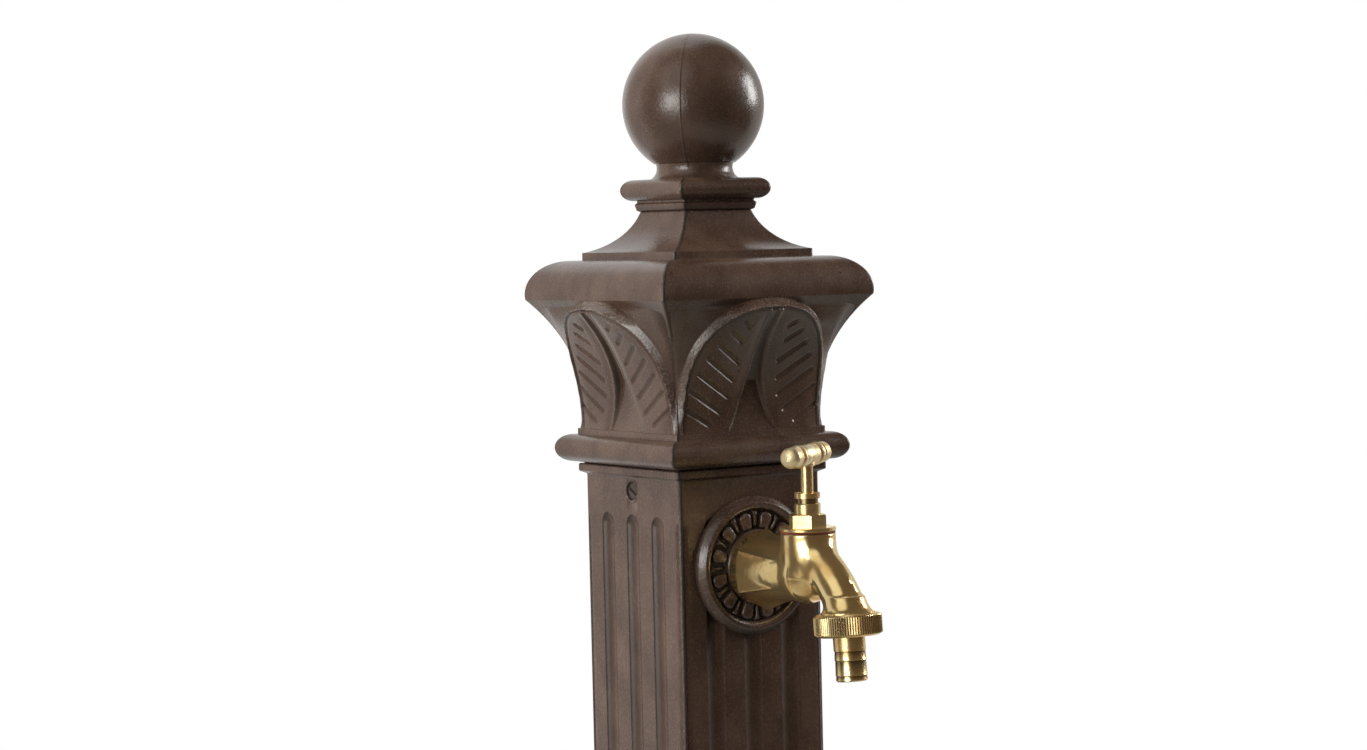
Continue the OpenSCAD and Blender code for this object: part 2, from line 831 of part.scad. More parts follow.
// Socket at the foot of the riser, with the threaded supply inlet below
module supply_socket() {
    thread_h = socket_h - pipe_engagement - pipe_stop_h;
    color(plumbing_brass) translate([0, riser_y, socket_z]) difference() {
        cylinder(d = elbow_d, h = socket_h);
        translate([0, 0, -1]) cylinder(d = supply_bore, h = thread_h + 1);
        cylinder(d = riser_bore, h = socket_h);
        translate([0, 0, socket_h - pipe_engagement])
            cylinder(d = riser_d + 2 * thread_gap, h = pipe_engagement + 1);
    }
}

module riser_pipe() {
    color(steel) translate([0, riser_y, riser_foot]) ring(riser_d, riser_bore, riser_top - riser_foot);
}

// Bulkhead elbow: a sleeve through the front wall and a socket down to the riser
module elbow() {
    sleeve_bore = inlet_d + 2 * thread_gap;
    thread_end = inlet_l - rosette_hub_h + inlet_room;
    color(plumbing_brass) at_tap() difference() {
        union() {
            bar_forward(sleeve_d, riser_depth, -sleeve_end);
            bar_forward(sleeve_flange_d, elbow_seat + sleeve_flange_h, elbow_seat);
            bar_forward(elbow_d, riser_depth, elbow_seat + 1);
            translate([0, riser_depth, 0]) sphere(d = elbow_d + 1);
            translate([0, riser_depth, -elbow_leg]) cylinder(d = elbow_d, h = elbow_leg);
        }
        bar_forward(sleeve_bore, thread_end, -sleeve_end - 1);
        bar_forward(riser_bore, riser_depth, 0);
        translate([0, riser_depth, -elbow_leg - 1]) cylinder(d = riser_bore, h = elbow_leg + 1);
        translate([0, riser_depth, 0]) sphere(d = riser_bore + 0.6);
        translate([0, riser_depth, -elbow_leg - 1])
            cylinder(d = riser_d + 2 * thread_gap, h = pipe_engagement + 1);
    }
}

module elbow_washer() {
    color(fibre) at_tap() translate([0, elbow_seat, 0]) rotate([90, 0, 0])
        ring(sleeve_flange_d, sleeve_d + 2 * slip_gap, elbow_washer_h);
}

// Round locknut with two slots for a spanner
module elbow_locknut() {
    slot_w = 4;
    slot_h = locknut_h / 2;
    color(plumbing_brass) at_tap() rotate([90, 0, 0]) difference() {
        ring(locknut_d, sleeve_d + 2 * thread_gap, locknut_h);
        translate([-locknut_d, -slot_w / 2, locknut_h - slot_h]) cube([2 * locknut_d, slot_w, slot_h + 1]);
    }
}

// Section of the rosette: hub, channel and half-round rim, with a hollow for the locknut
module rosette_section() {
    hub_r = rosette_hub_d / 2;
    rim_r = rosette_d / 2 - rosette_rim_w / 2;
    locknut_room = locknut_d / 2 + slip_gap;
    difference() {
        union() {
            square([rim_r, rosette_floor_h]);
            square([hub_r, rosette_hub_h]);
            intersection() {
                translate([rim_r, rosette_hub_h - rosette_rim_w / 2]) circle(d = rosette_rim_w);
                square([rosette_d, rosette_hub_h]);
            }
            translate([rim_r - rosette_rim_w / 2, 0])
                square([rosette_rim_w, rosette_hub_h - rosette_rim_w / 2]);
        }
        square([locknut_room, locknut_h + 2 * slip_gap]);
        square([inlet_d / 2 + slip_gap, rosette_hub_h + 1]);
    }
}

// Cast rosette with eggs and darts in its channel
module rosette() {
    hub_r = rosette_hub_d / 2;
    channel_r = rosette_d / 2 - rosette_rim_w;
    channel_w = channel_r - hub_r;
    egg_r = egg_w / 2;
    pitch = 360 / egg_count;
    color(paint) at_tap() rotate([90, 0, 0]) {
        rotate_extrude() rosette_section();
        for (n = [0 : egg_count - 1]) {
            intersection() {
                rotate(pitch * (n + 0.5)) translate([hub_r + egg_margin, 0, rosette_floor_h])
                    rotate([0, 90, 0]) capsule(egg_r, channel_w - 2 * egg_margin);
                translate([0, 0, rosette_floor_h / 2]) cylinder(d = rosette_d, h = rosette_hub_h);
            }
            rotate(pitch * n) translate([hub_r - 0.5, -dart_w / 2, rosette_floor_h / 2])
                cube([channel_w + 1, dart_w, rosette_floor_h / 2 + dart_h]);
        }
    }
}

module spout_sweep(d, from_angle, to_angle) {
    translate([0, spout_centre.x, spout_centre.y]) rotate([180, -90, 0]) rotate(from_angle)
        rotate_extrude(angle = to_angle - from_angle)
        translate([spout_bend_r, 0]) circle(d = d);
}

// Cast tap body: hexagon, belly with the valve seat, upright barrel and spout
module tap_body() {
    color(cast_brass) difference() {
        union() {
            at_tap() {
                bar_forward(inlet_d, hex_back + inlet_l, hex_back - 1);
                translate([0, hex_back, 0]) rotate([90, 0, 0])
                    tapered_hexagon(hex_ac, hex_front_ac, hex_back - hex_front_y);
                translate([0, hex_back - 2, 0]) rotate([90, 0, 0])
                    cylinder(r1 = neck_r, r2 = belly_r - 0.2, h = spindle_reach + hex_back - 2);
                spout_sweep(spout_d, spout_start_angle, spout_end_angle);
            }
            at_spindle() {
                sphere(r = belly_r);
                cylinder(d = barrel_d, h = barrel_top);
            }
            at_outlet() {
                cylinder(d1 = outlet_d, d2 = flare_top_d, h = flare_h);
                translate([0, 0, -outlet_l]) cylinder(d = outlet_d, h = outlet_l);
            }
        }
        at_tap() {
            bar_forward(inlet_bore, hex_back + inlet_l + 1, inlet_end_y);
            translate([0, 0, passage_z]) bar_forward(2 * passage_r, inlet_end_y + 4, -spindle_reach);
            spout_sweep(spout_bore, spout_bore_angle, spout_end_angle);
        }
        at_spindle() {
            translate([0, 0, seat_z]) cylinder(d = chamber_d, h = barrel_top - seat_z + 1);
            translate([0, 0, seat_z - seat_web_h - lower_chamber_h])
                cylinder(r = lower_chamber_r, h = lower_chamber_h);
            translate([0, 0, seat_z - seat_web_h - 1]) cylinder(d = seat_bore, h = seat_web_h + 2);
        }
        at_outlet() {
            translate([0, 0, -outlet_l - 1]) cylinder(d = outlet_bore, h = outlet_l + 1);
            sphere(d = outlet_bore + 2 * bend_room);
        }
    }
}

module bonnet_washer() {
    color(fibre) at_spindle() translate([0, 0, barrel_top])
        ring(barrel_d - 1, bonnet_thread_d + 2 * slip_gap, bonnet_washer_h);
}

// Bonnet: thread, flange, hexagon and a neck that holds the packing
module bonnet() {
    color(turned_brass) at_spindle() difference() {
        union() {
            translate([0, 0, bonnet_foot_z]) cylinder(d = bonnet_thread_d, h = flange_z - bonnet_foot_z + 1);
            translate([0, 0, flange_z]) cylinder(d = bonnet_flange_d, h = bonnet_flange_h);
            translate([0, 0, bonnet_hex_z - 1]) hexagon(bonnet_af, bonnet_hex_h + 1);
            translate([0, 0, bonnet_neck_z - 1]) cylinder(d = bonnet_neck_d, h = bonnet_neck_h);
            translate([0, 0, bonnet_neck_z]) cylinder(d = bonnet_neck_d - 2 * neck_undercut, h = bonnet_neck_h);
        }
        translate([0, 0, bonnet_foot_z - 1])
            cylinder(d = spindle_thread_d + 2 * thread_gap, h = bonnet_neck_z - shoulder_h - bonnet_foot_z + 1);
        cylinder(d = spindle_d + 2 * thread_gap, h = gland_z);
        translate([0, 0, gland_floor_z]) cylinder(d = gland_bore, h = bonnet_neck_h);
    }
}

module gland_packing() {
    color(rubber) at_spindle() translate([0, 0, gland_floor_z])
        ring(gland_bore - 2 * thread_gap, spindle_d + 2 * thread_gap, gland_z - gland_skirt_h - gland_floor_z);
}

// Gland nut: a slotted head over a threaded skirt that presses on the packing
module gland_nut() {
    slot_w = 1.2;
    slot_h = 1.4;
    color(turned_brass) at_spindle() translate([0, 0, gland_z]) difference() {
        union() {
            cylinder(d = gland_nut_d, h = gland_nut_h);
            translate([0, 0, -gland_skirt_h]) cylinder(d = gland_bore - 2 * thread_gap, h = gland_skirt_h + 1);
        }
        translate([0, 0, -gland_skirt_h - 1])
            cylinder(d = spindle_d + 2 * thread_gap, h = gland_nut_h + gland_skirt_h + 2);
        rotate(handle_angle) translate([-slot_w / 2, -bonnet_neck_d, gland_nut_h - slot_h])
            cube([slot_w, 2 * bonnet_neck_d, slot_h + 1]);
    }
}

// Jumper: a plate with a stem that rides in the spindle
module valve_jumper() {
    stud_z = seat_z - valve_nut_h;
    color(turned_brass) at_spindle() {
        translate([0, 0, valve_plate_z]) cylinder(d = valve_plate_d, h = valve_plate_h);
        translate([0, 0, valve_plate_z]) cylinder(d = valve_stem_d, h = valve_plate_h + valve_stem_h);
        translate([0, 0, stud_z]) cylinder(d = valve_stud_d, h = valve_plate_z - stud_z + 1);
    }
}

module valve_washer() {
    color(rubber) at_spindle() translate([0, 0, seat_z])
        ring(valve_washer_d, valve_stud_d + 2 * thread_gap, valve_washer_h);
}

module valve_nut() {
    color(turned_brass) at_spindle() translate([0, 0, seat_z - valve_nut_h]) difference() {
        cylinder(d = valve_nut_ac, h = valve_nut_h, $fn = 6);
        translate([0, 0, -1]) cylinder(d = valve_stud_d + 2 * thread_gap, h = valve_nut_h + 2);
    }
}

// Spindle: a screw below, a plain stem above, and a tenon in the handle
module spindle() {
    color(turned_brass) at_spindle() difference() {
        union() {
            translate([0, 0, spindle_foot_z])
                cylinder(d = spindle_thread_d, h = spindle_shoulder_z - spindle_foot_z);
            translate([0, 0, spindle_foot_z]) cylinder(d = spindle_d, h = stem_top_z - spindle_foot_z);
            translate([0, 0, stem_top_z - 1]) cylinder(d = tenon_d, h = tenon_h + 1);
        }
        translate([0, 0, spindle_foot_z - 1])
            cylinder(d = valve_stem_d + 2 * thread_gap, h = valve_stem_h + stem_room + 1);
    }
}

// Half of the turned tee handle: waist, bead, groove and a domed knob
module handle_half_section() {
    r = handle_d / 2;
    half_l = handle_l / 2;
    knob_l = 0.42 * half_l;
    bead_l = 0.2 * half_l;
    boss_l = 0.22 * half_l;
    groove_w = 1.1;
    waist_r = r - 0.9;
    boss_r = r - 0.5;
    intersection() {
        union() {
            square([half_l - r, waist_r]);
            translate([half_l - knob_l, 0]) square([knob_l - r, r]);
            translate([half_l - r, 0]) circle(r);
            translate([half_l - knob_l - groove_w - bead_l, 0]) square([bead_l, r]);
            square([boss_l, boss_r]);
        }
        square([half_l, r]);
    }
}

module tee_handle() {
    color(turned_brass) at_spindle() difference() {
        translate([0, 0, handle_z]) rotate(handle_angle) rotate([0, 90, 0]) rotate_extrude()
            rotate(-90) both_sides() handle_half_section();
        translate([0, 0, stem_top_z - handle_d]) cylinder(d = spindle_d + 2 * thread_gap, h = handle_d);
        translate([0, 0, stem_top_z - 1]) cylinder(d = tenon_d + 2 * thread_gap, h = tenon_h + 1);
    }
}

// Hose tail: a flange inside the nut and a barbed tube below it
module hose_tail() {
    color(turned_brass) at_outlet() difference() {
        union() {
            translate([0, 0, union_floor_z]) cylinder(d = tail_flange_d, h = tail_flange_h);
            translate([0, 0, tail_foot_z]) cylinder(d = tail_root_d, h = tail_flange_z - tail_foot_z);
            for (n = [0 : barb_count - 1]) translate([0, 0, tail_foot_z + n * barb_pitch]) {
                cylinder(d1 = tail_root_d - barb_h, d2 = tail_d, h = barb_l);
                translate([0, 0, barb_l]) cylinder(d = tail_d, h = barb_land_h);
            }
        }
        translate([0, 0, tail_foot_z - 1]) cylinder(d = tail_bore, h = tail_flange_z - tail_foot_z + 2);
    }
}

module union_washer() {
    color(rubber) at_outlet() translate([0, 0, tail_flange_z])
        ring(tail_flange_d, outlet_bore, union_washer_h);
}

// Union nut: a thread round the outlet and a floor that carries the tail's flange
module union_nut() {
    color(turned_brass) at_outlet() difference() {
        translate([0, 0, -union_h]) rotate_extrude() polygon([
            [0, 0], [union_d / 2 - knurl_chamfer, 0], [union_d / 2, knurl_chamfer],
            [union_d / 2, union_h - knurl_chamfer], [union_d / 2 - knurl_chamfer, union_h], [0, union_h]
        ]);
        translate([0, 0, union_floor_z]) cylinder(d = outlet_d + 2 * thread_gap, h = union_h);
        translate([0, 0, -union_h - 1]) cylinder(d = tail_d + 2 * slip_gap, h = union_h);
    }
}

base();
shaft();
shaft_screws();
capital();
capital_screws();
finial();
finial_stud();
finial_washer();
finial_nut();
supply_socket();
riser_pipe();
elbow();
elbow_washer();
elbow_locknut();
rosette();
tap_body();
bonnet_washer();
bonnet();
gland_packing();
gland_nut();
valve_jumper();
valve_washer();
valve_nut();
spindle();
tee_handle();
hose_tail();
union_washer();
union_nut();
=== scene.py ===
import math

import bmesh
import bpy
import numpy as np
from mathutils import Matrix, Vector


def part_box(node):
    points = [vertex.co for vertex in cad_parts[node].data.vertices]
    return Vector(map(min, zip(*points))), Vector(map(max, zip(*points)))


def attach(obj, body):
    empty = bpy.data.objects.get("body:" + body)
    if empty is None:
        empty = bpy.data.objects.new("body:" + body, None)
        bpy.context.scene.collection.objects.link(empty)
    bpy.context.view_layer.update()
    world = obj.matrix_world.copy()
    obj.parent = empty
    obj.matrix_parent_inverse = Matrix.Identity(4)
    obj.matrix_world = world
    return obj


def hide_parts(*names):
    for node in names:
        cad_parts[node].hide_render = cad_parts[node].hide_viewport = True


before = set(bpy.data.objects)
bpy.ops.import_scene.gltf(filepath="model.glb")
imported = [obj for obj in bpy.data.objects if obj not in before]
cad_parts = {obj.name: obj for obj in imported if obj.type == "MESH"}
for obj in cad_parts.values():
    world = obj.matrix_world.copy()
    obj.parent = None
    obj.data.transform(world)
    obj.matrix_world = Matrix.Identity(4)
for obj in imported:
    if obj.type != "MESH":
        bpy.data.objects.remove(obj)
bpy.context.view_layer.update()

# Base: a square foot, plinth and mouldings in one hollow iron casting, painted brown.
# It is bolted to the ground through four holes in its foot and is open below for the
# supply pipe. Its mouldings run round all four sides and are mitred at the corners.
MM = 0.001


def arc(centre, radius, start, stop, count=10):
    """Points on a circle of a profile, from one angle in degrees to another."""
    turns = np.radians(np.linspace(start, stop, count + 1))
    return [(centre[0] + radius * math.cos(t), centre[1] + radius * math.sin(t)) for t in turns]


def hollow(start, end, radius, count=14):
    """Points on a hollow moulding between two points of a profile that is drawn upwards."""
    start, end = Vector(start), Vector(end)
    way = end - start
    lift = math.sqrt(radius ** 2 - way.length_squared / 4)
    centre = (start + end) / 2 + Vector((way.y, -way.x)).normalized() * lift
    turns = [math.atan2(p.y - centre.y, p.x - centre.x) for p in (start, end)]
    return arc(centre, radius, *np.degrees(np.unwrap(turns)), count)


def softened(outline, radius):
    """The same profile with its sharp corners rounded, as paint and casting leave them."""
    points = [Vector(outline[0])]
    for before, corner, after in zip(outline, outline[1:], outline[2:]):
        corner = Vector(corner)
        back, on = Vector(before) - corner, Vector(after) - corner
        turn = math.pi - back.angle(on)
        if turn < 0.4:
            points.append(corner)
            continue
        reach = min(radius * math.tan(turn / 2), 0.45 * back.length, 0.45 * on.length)
        first, last = corner + back.normalized() * reach, corner + on.normalized() * reach
        for t in (0, 0.25, 0.5, 0.75, 1):
            points.append(first * (1 - t) ** 2 + corner * 2 * t * (1 - t) + last * t ** 2)
    return points + [Vector(outline[-1])]


def quartered(points):
    """The same points turned to each of the four sides in turn."""
    x, y = points[:, 0], points[:, 1]
    for c, s in ((1, 0), (0, 1), (-1, 0), (0, -1)):
        yield np.stack([c * x - s * y, s * x + c * y, points[:, 2]], -1)


def square_ring(half, corner, z):
    """Points round a square with rounded corners, and just before and after each corner."""
    corner = min(corner, half)
    reach = half - corner
    bow = reach + corner * np.cos(np.radians(np.linspace(0, 90, 5)))
    x = np.concatenate([[half], bow, [reach - min(0.6, reach)]])
    return np.concatenate(list(quartered(np.stack([x, x[::-1], 0 * x + z], -1))))


def full_turn(count):
    """Angles of points spaced evenly round a circle."""
    return np.linspace(0, 2 * math.pi, count, endpoint=False)


def ring_at(radius, z, angles):
    """Points round the upright axis at a height."""
    return np.stack([radius * np.cos(angles), radius * np.sin(angles), 0 * angles + z], -1)


def placed(name, mesh, edge_angle=35):
    """A closed, outward-facing, smooth-shaded piece from a mesh."""
    shell = bmesh.new()
    shell.from_mesh(mesh)
    bmesh.ops.remove_doubles(shell, verts=shell.verts, dist=1e-6)
    bmesh.ops.holes_fill(shell, edges=[e for e in shell.edges if e.is_boundary], sides=0)
    bmesh.ops.recalc_face_normals(shell, faces=shell.faces)
    shell.to_mesh(mesh)
    shell.free()
    mesh.shade_smooth()
    mesh.set_sharp_from_angle(angle=math.radians(edge_angle))
    piece = bpy.data.objects.new(name, mesh)
    bpy.context.collection.objects.link(piece)
    return piece


def marked(mesh, marks):
    """Writes values such as grime or wear on a mesh, one for each point."""
    for mark, values in marks.items():
        mesh.attributes.new(mark, "FLOAT", "POINT").data.foreach_set("value", np.ravel(values))


def grid_faces(rows, count, columns):
    """Four-sided faces between rows of points. As many columns as points go right round."""
    return [
        (i * count + j, i * count + (j + 1) % count, (i + 1) * count + (j + 1) % count, (i + 1) * count + j)
        for i in range(rows - 1) for j in range(columns)
    ]


def skin(name, rings, edge_angle=35, **marks):
    """A piece whose skin joins closed rings of points, given in millimetres."""
    rings = np.asarray(rings, float) * MM
    rows, count = rings.shape[:2]
    mesh = bpy.data.meshes.new(name)
    mesh.from_pydata(rings.reshape(-1, 3).tolist(), [], grid_faces(rows, count, count))
    marked(mesh, marks)
    return placed(name, mesh, edge_angle)


def mitred(name, outline, corner, joint):
    """A moulding run round a square: its mitres are dark and scuffed, and painted shade darkens it at its
    joint.
    """
    rings = [square_ring(w, corner, z) for w, z in outline]
    dark, rubbed = np.tile([0, 0, 0.1, 0.6, 1, 0.8, 0], 4), np.tile([0, 0.2, 0.5, 0.3, 0, 0, 0], 4)
    # Painted shade on the rings near the joint, where the gap to the next piece lies dark.
    shade_and_dirt = [np.maximum(dark, math.exp(-((z - joint) / 0.9) ** 2)) for w, z in outline]
    return skin(name, rings, grime=shade_and_dirt, wear=[rubbed] * len(rings))


def baked(piece):
    """Turns a piece's modifiers into its plain mesh."""
    graph = bpy.context.evaluated_depsgraph_get()
    mesh = bpy.data.meshes.new_from_object(piece.evaluated_get(graph))
    piece.modifiers.clear()
    piece.data = mesh


def unused(*patterns):
    """Removes pieces that were only needed to make others."""
    for pattern in patterns:
        bpy.data.objects.remove(pattern)


def drilled(piece, cutters):
    """Takes cutters, each given as rings of points, out of a piece."""
    tools = [skin("cutter", rings) for rings in cutters]
    for tool in tools:
        cut = piece.modifiers.new("cutter", "BOOLEAN")
        cut.object, cut.solver = tool, "EXACT"
    baked(piece)
    unused(*tools)


def srgb(red, green, blue):
    """A colour as it is read off a screen, for a shader socket."""
    parts = [c / 255 for c in (red, green, blue)]
    return tuple(c / 12.92 if c < 0.04045 else ((c + 0.055) / 1.055) ** 2.4 for c in parts) + (1.0,)


def wired(tree, kind, settings, sockets):
    """A new node of a tree, with its settings and with its inputs set or linked."""
    new = tree.nodes.new(kind)
    for key, value in dict(settings).items():
        setattr(new, key, value)
    for key, given in dict(sockets).items():
        for value in given if isinstance(given, list) else [given]:
            source = getattr(value, "socket", value)
            if isinstance(source, bpy.types.NodeSocket):
                tree.links.new(source, new.inputs[key])
            else:
                new.inputs[key].default_value = value
    return new


class Wire:
    """A shader socket that can be added, taken away and multiplied like a number."""

    def __init__(self, finish, socket):
        self.finish, self.socket = finish, socket

    def sum(self, operation, first, second):
        return self.finish.node("ShaderNodeMath", {"operation": operation}, {0: first, 1: second})

    def __add__(self, other):
        return self.sum("ADD", self, other)

    def __sub__(self, other):
        return self.sum("SUBTRACT", self, other)

    def __rsub__(self, other):
        return self.sum("SUBTRACT", other, self)

    def __mul__(self, other):
        return self.sum("MULTIPLY", self, other)

    __radd__, __rmul__ = __add__, __mul__


class Finish:
    """The nodes of one material or of the world."""

    def __init__(self, owner):
        owner.use_nodes = True
        self.owner, self.tree = owner, owner.node_tree
        self.tree.nodes.clear()

    def node(self, kind, settings=(), sockets=(), out=0):
        new = wired(self.tree, kind, settings, sockets)
        return Wire(self, new.outputs[out]) if new.outputs else None

    def noise(self, size, detail=2, stretch=(1, 1, 1)):
        """Soft noise with spots of about this size in millimetres."""
        spot = self.node("ShaderNodeTexCoord", out="Object")
        spot = self.node("ShaderNodeMapping", {}, {"Vector": spot, "Scale": stretch})
        scale = 1 / (size * MM)
        return self.node("ShaderNodeTexNoise", {}, {"Vector": spot, "Scale": scale, "Detail": detail})

    def mark(self, name):
        return self.node("ShaderNodeAttribute", {"attribute_name": name}, out="Fac")

    def band(self, value, low, high):
        """Nothing below low, one above high, soft between."""
        soft = {"interpolation_type": "SMOOTHSTEP"}
        return self.node("ShaderNodeMapRange", soft, {0: value, 1: low, 2: high})

    def mix(self, share, first, second):
        return self.node("ShaderNodeMix", {"data_type": "RGBA"}, {0: share, 6: first, 7: second}, out=2)

    def bump(self, height, depth):
        """A normal that is rough by this many millimetres."""
        return self.node("ShaderNodeBump", {}, {"Height": height, "Distance": depth * MM, "Strength": 1.0})

    def surface(self, sockets):
        shader = self.node("ShaderNodeBsdfPrincipled", {}, sockets)
        self.node("ShaderNodeOutputMaterial", {}, {"Surface": shader})
        return self.owner


coat = Finish(bpy.data.materials.new("brown_paint"))
cloud = coat.band(coat.noise(24, 4), 0.36, 0.64)
smear = coat.band(coat.noise(10, 5, (1, 1, 0.5)), 0.42, 0.68)
orange_peel = coat.noise(1.2, 2)
fleck = coat.noise(0.9, 1)
pits = coat.band(coat.noise(2.2, 1), 0.75, 0.8)
grime, wear = coat.mark("grime"), coat.mark("wear")
tone = coat.mix(cloud, srgb(68, 51, 41), srgb(82, 63, 51))
tone = coat.mix(smear * 0.45, tone, srgb(60, 39, 32))
tone = coat.mix(coat.band(orange_peel, 0.5, 0.7) * 0.12, tone, srgb(112, 92, 74))
tone = coat.mix(pits * 0.8, tone, srgb(26, 19, 15))
# Dark flecks where the first mark is high: real grime on mitres, corners and the ball's seam, painted shade
# in leaf creases, flutes, joints and screw recesses, and the rosette's darker channel floor.
tone = coat.mix(grime * coat.band(fleck, 0.28, 0.46) * 0.95, tone, srgb(16, 12, 10))
# Light flecks where the second mark is high: real wear on edges and corners, painted sheen on the leaves'
# rims and a painted highlight on the screw recesses' lower rims.
tone = coat.mix(wear * coat.band(fleck, 0.52, 0.64) * 0.6, tone, srgb(160, 149, 139))
brown_paint = coat.surface({
    "Base Color": tone,
    "Roughness": 0.18 + orange_peel * 0.16 + grime * 0.35,
    "Specular IOR Level": 0.7,
    "Normal": coat.bump(orange_peel + coat.noise(5, 2) * 1.2 - pits * 0.4, 0.085),
})


def fit(piece, material, slot, body, *nodes):
    """Gives a piece its finish and its body, and says which CAD nodes it stands for."""
    piece.data.materials.clear()
    piece.data.materials.append(material)
    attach(piece, body)
    if nodes:
        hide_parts(*nodes)


foot_w, foot_h, foot_round = 92, 14, 7
plinth_w, plinth_top, roll_w, roll_r = 62, 54, 58, 7
cove_w, cove_top_w, cove_top, cove_bow = 57.6, 46.4, 90, 26.66
fillet_w, fillet_h = 47.4, 3
torus_w, torus_r, shaft_seat_w, shaft_seat_h = 46.3, 6.7, 42.4, 1.1
inside_w, inside_top, pit_w = 30.2, 97.5, 48
roll_top = plinth_top + 2 * roll_r
torus_z = cove_top + fillet_h + torus_r
base_top = torus_z + torus_r + shaft_seat_h
base_profile = [
    (0, inside_top), (inside_w, inside_top), (inside_w, roll_top), (pit_w, roll_top), (pit_w, 0), (foot_w, 0),
    *arc((foot_w - foot_round, foot_h - foot_round), foot_round, 0, 90),
    (plinth_w, foot_h), (plinth_w, plinth_top),
    *arc((roll_w, plinth_top + roll_r), roll_r, -90, 90, 16),
    *hollow((cove_w, roll_top), (cove_top_w, cove_top), cove_bow),
    (fillet_w, cove_top), (fillet_w, cove_top + fillet_h),
    *arc((torus_w, torus_z), torus_r, -90, 90, 16),
    (shaft_seat_w, torus_z + torus_r), (shaft_seat_w, base_top), (0, base_top),
]
base = mitred("base", softened(base_profile, 0.9), 1.3, base_top - 0.6)
anchor_reach, anchor_r, anchor_chamfer = 75, 5.5, 1
anchor_outline = [(0, -5), (anchor_r, -5), (anchor_r, foot_h - anchor_chamfer)]
anchor_outline += [(anchor_r + 2 * anchor_chamfer, foot_h + anchor_chamfer), (0, foot_h + anchor_chamfer)]
drilled(base, [
    [ring_at(r, z, full_turn(32)) + (x, y, 0) for r, z in anchor_outline]
    for x in (-anchor_reach, anchor_reach) for y in (-anchor_reach, anchor_reach)
])
fit(base, brown_paint, "paint", "column", "base")

# Supply: a threaded steel socket in the base and a brass riser pipe inside the shaft, which
# goes into the socket. They are plain turned pieces, seen only from below through the open foot.


def dress(material, *nodes):
    """Gives CAD nodes whose shape is right a better finish."""
    for name in nodes:
        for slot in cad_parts[name].material_slots:
            slot.material = material


def metal(name, light, dark, roughness, patch=14, streak=(1, 1, 1), scratch=0.7, depth=0.01):
    """Bare metal: two tones in soft patches, fine scratches or tool marks, uneven gloss."""
    new = Finish(bpy.data.materials.new(name))
    tarnish = new.band(new.noise(patch, 4), 0.38, 0.68)
    marks = new.noise(scratch, 2, streak)
    tone = new.mix(new.mark("grime") * 0.85, new.mix(tarnish, light, dark), srgb(58, 40, 24))
    return new.surface({
        "Base Color": tone,
        "Metallic": 0.95 - tarnish * 0.05,
        "Roughness": roughness + tarnish * 0.08 + marks * 0.08,
        "Normal": new.bump(marks + new.noise(6, 2) * 2, depth),
    })


steel = metal("zinc_steel", srgb(176, 177, 174), srgb(140, 140, 136), 0.3)
plumbing_brass = metal("plumbing_brass", srgb(206, 172, 104), srgb(160, 122, 66), 0.28)
dress(steel, "supply_socket")
dress(plumbing_brass, "riser_pipe")

# Shaft: a square cast tube with a lip at each end and three round-ended flutes on each
# face, painted brown. It stands on the base's spigot and is screwed to it from the sides.
shaft_low, shaft_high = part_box("shaft")
shaft_foot, shaft_top = shaft_low.z / MM, shaft_high.z / MM
shaft_w, shaft_corner = 41.5, 1.7
lip_out, lip_h, lip_slope = 3, 4, 1
flute_pitch, flute_r, flute_depth = 22, 5.25, 2.2
flute_foot, flute_top = 147.5, 765.1
flute_bow = (flute_r ** 2 + flute_depth ** 2) / (2 * flute_depth)


def flute(u, z):
    """How deep the flutes are at a place on a face, and how strong the painted shade is there, darkest near a
    flute's edge.
    """
    across = (u + flute_pitch * 1.5) % flute_pitch - flute_pitch / 2
    beyond = np.clip(z, flute_foot + flute_r, flute_top - flute_r) - z
    off = np.minimum(np.hypot(across, beyond), flute_bow * 0.999)
    sink = np.sqrt(flute_bow ** 2 - off ** 2) - (flute_bow - flute_depth)
    # Painted shade: dark along each flute's edge on the side away from the light and over that half of the
    # flute, with a faint line at its other edge.
    left_flute_shade = np.exp(-(sink / 0.4) ** 2) + 0.35 * (sink > 0)
    flute_shade = np.where(across < 0, left_flute_shade, 0.2 * np.exp(-(sink / 0.3) ** 2))
    return 0.5 * (sink + np.sqrt(sink ** 2 + 0.04)), flute_shade


face_reach, flute_reach = 39.5, 6
plain_u = np.linspace(flute_pitch + flute_reach, face_reach, 8)
flute_u = np.linspace(-flute_reach, flute_reach, 44)
face_u = np.concatenate([-plain_u[::-1], flute_u - flute_pitch, flute_u, flute_u + flute_pitch, plain_u])
bend = np.radians(np.linspace(0, 90, 11))[1:-1]
corner = np.exp(-((np.degrees(bend) - 60) / 30) ** 4)
scuff = 0.6 * np.exp(-((np.degrees(bend) - 30) / 22) ** 2)
lip_levels = [
    (0, 0), (0, lip_out - 0.5), (0.5, lip_out), (lip_h - 0.4, lip_out), (lip_h, lip_out - 0.5),
    (lip_h + lip_slope, 0.3), (lip_h + lip_slope + 0.6, 0),
]
ends = np.arange(-0.8, flute_r + 0.3, 0.26)
run = np.linspace(flute_foot + flute_r + 1, flute_top - flute_r - 1, 24)
shaft_levels = [
    *((shaft_foot + rise, out) for rise, out in lip_levels),
    *((z, 0) for z in np.concatenate([flute_foot + ends, run, (flute_top - ends)[::-1]])),
    *((shaft_top - rise, out) for rise, out in lip_levels[::-1]),
]
shaft_rings, shaft_grime, shaft_wear = [], [], []
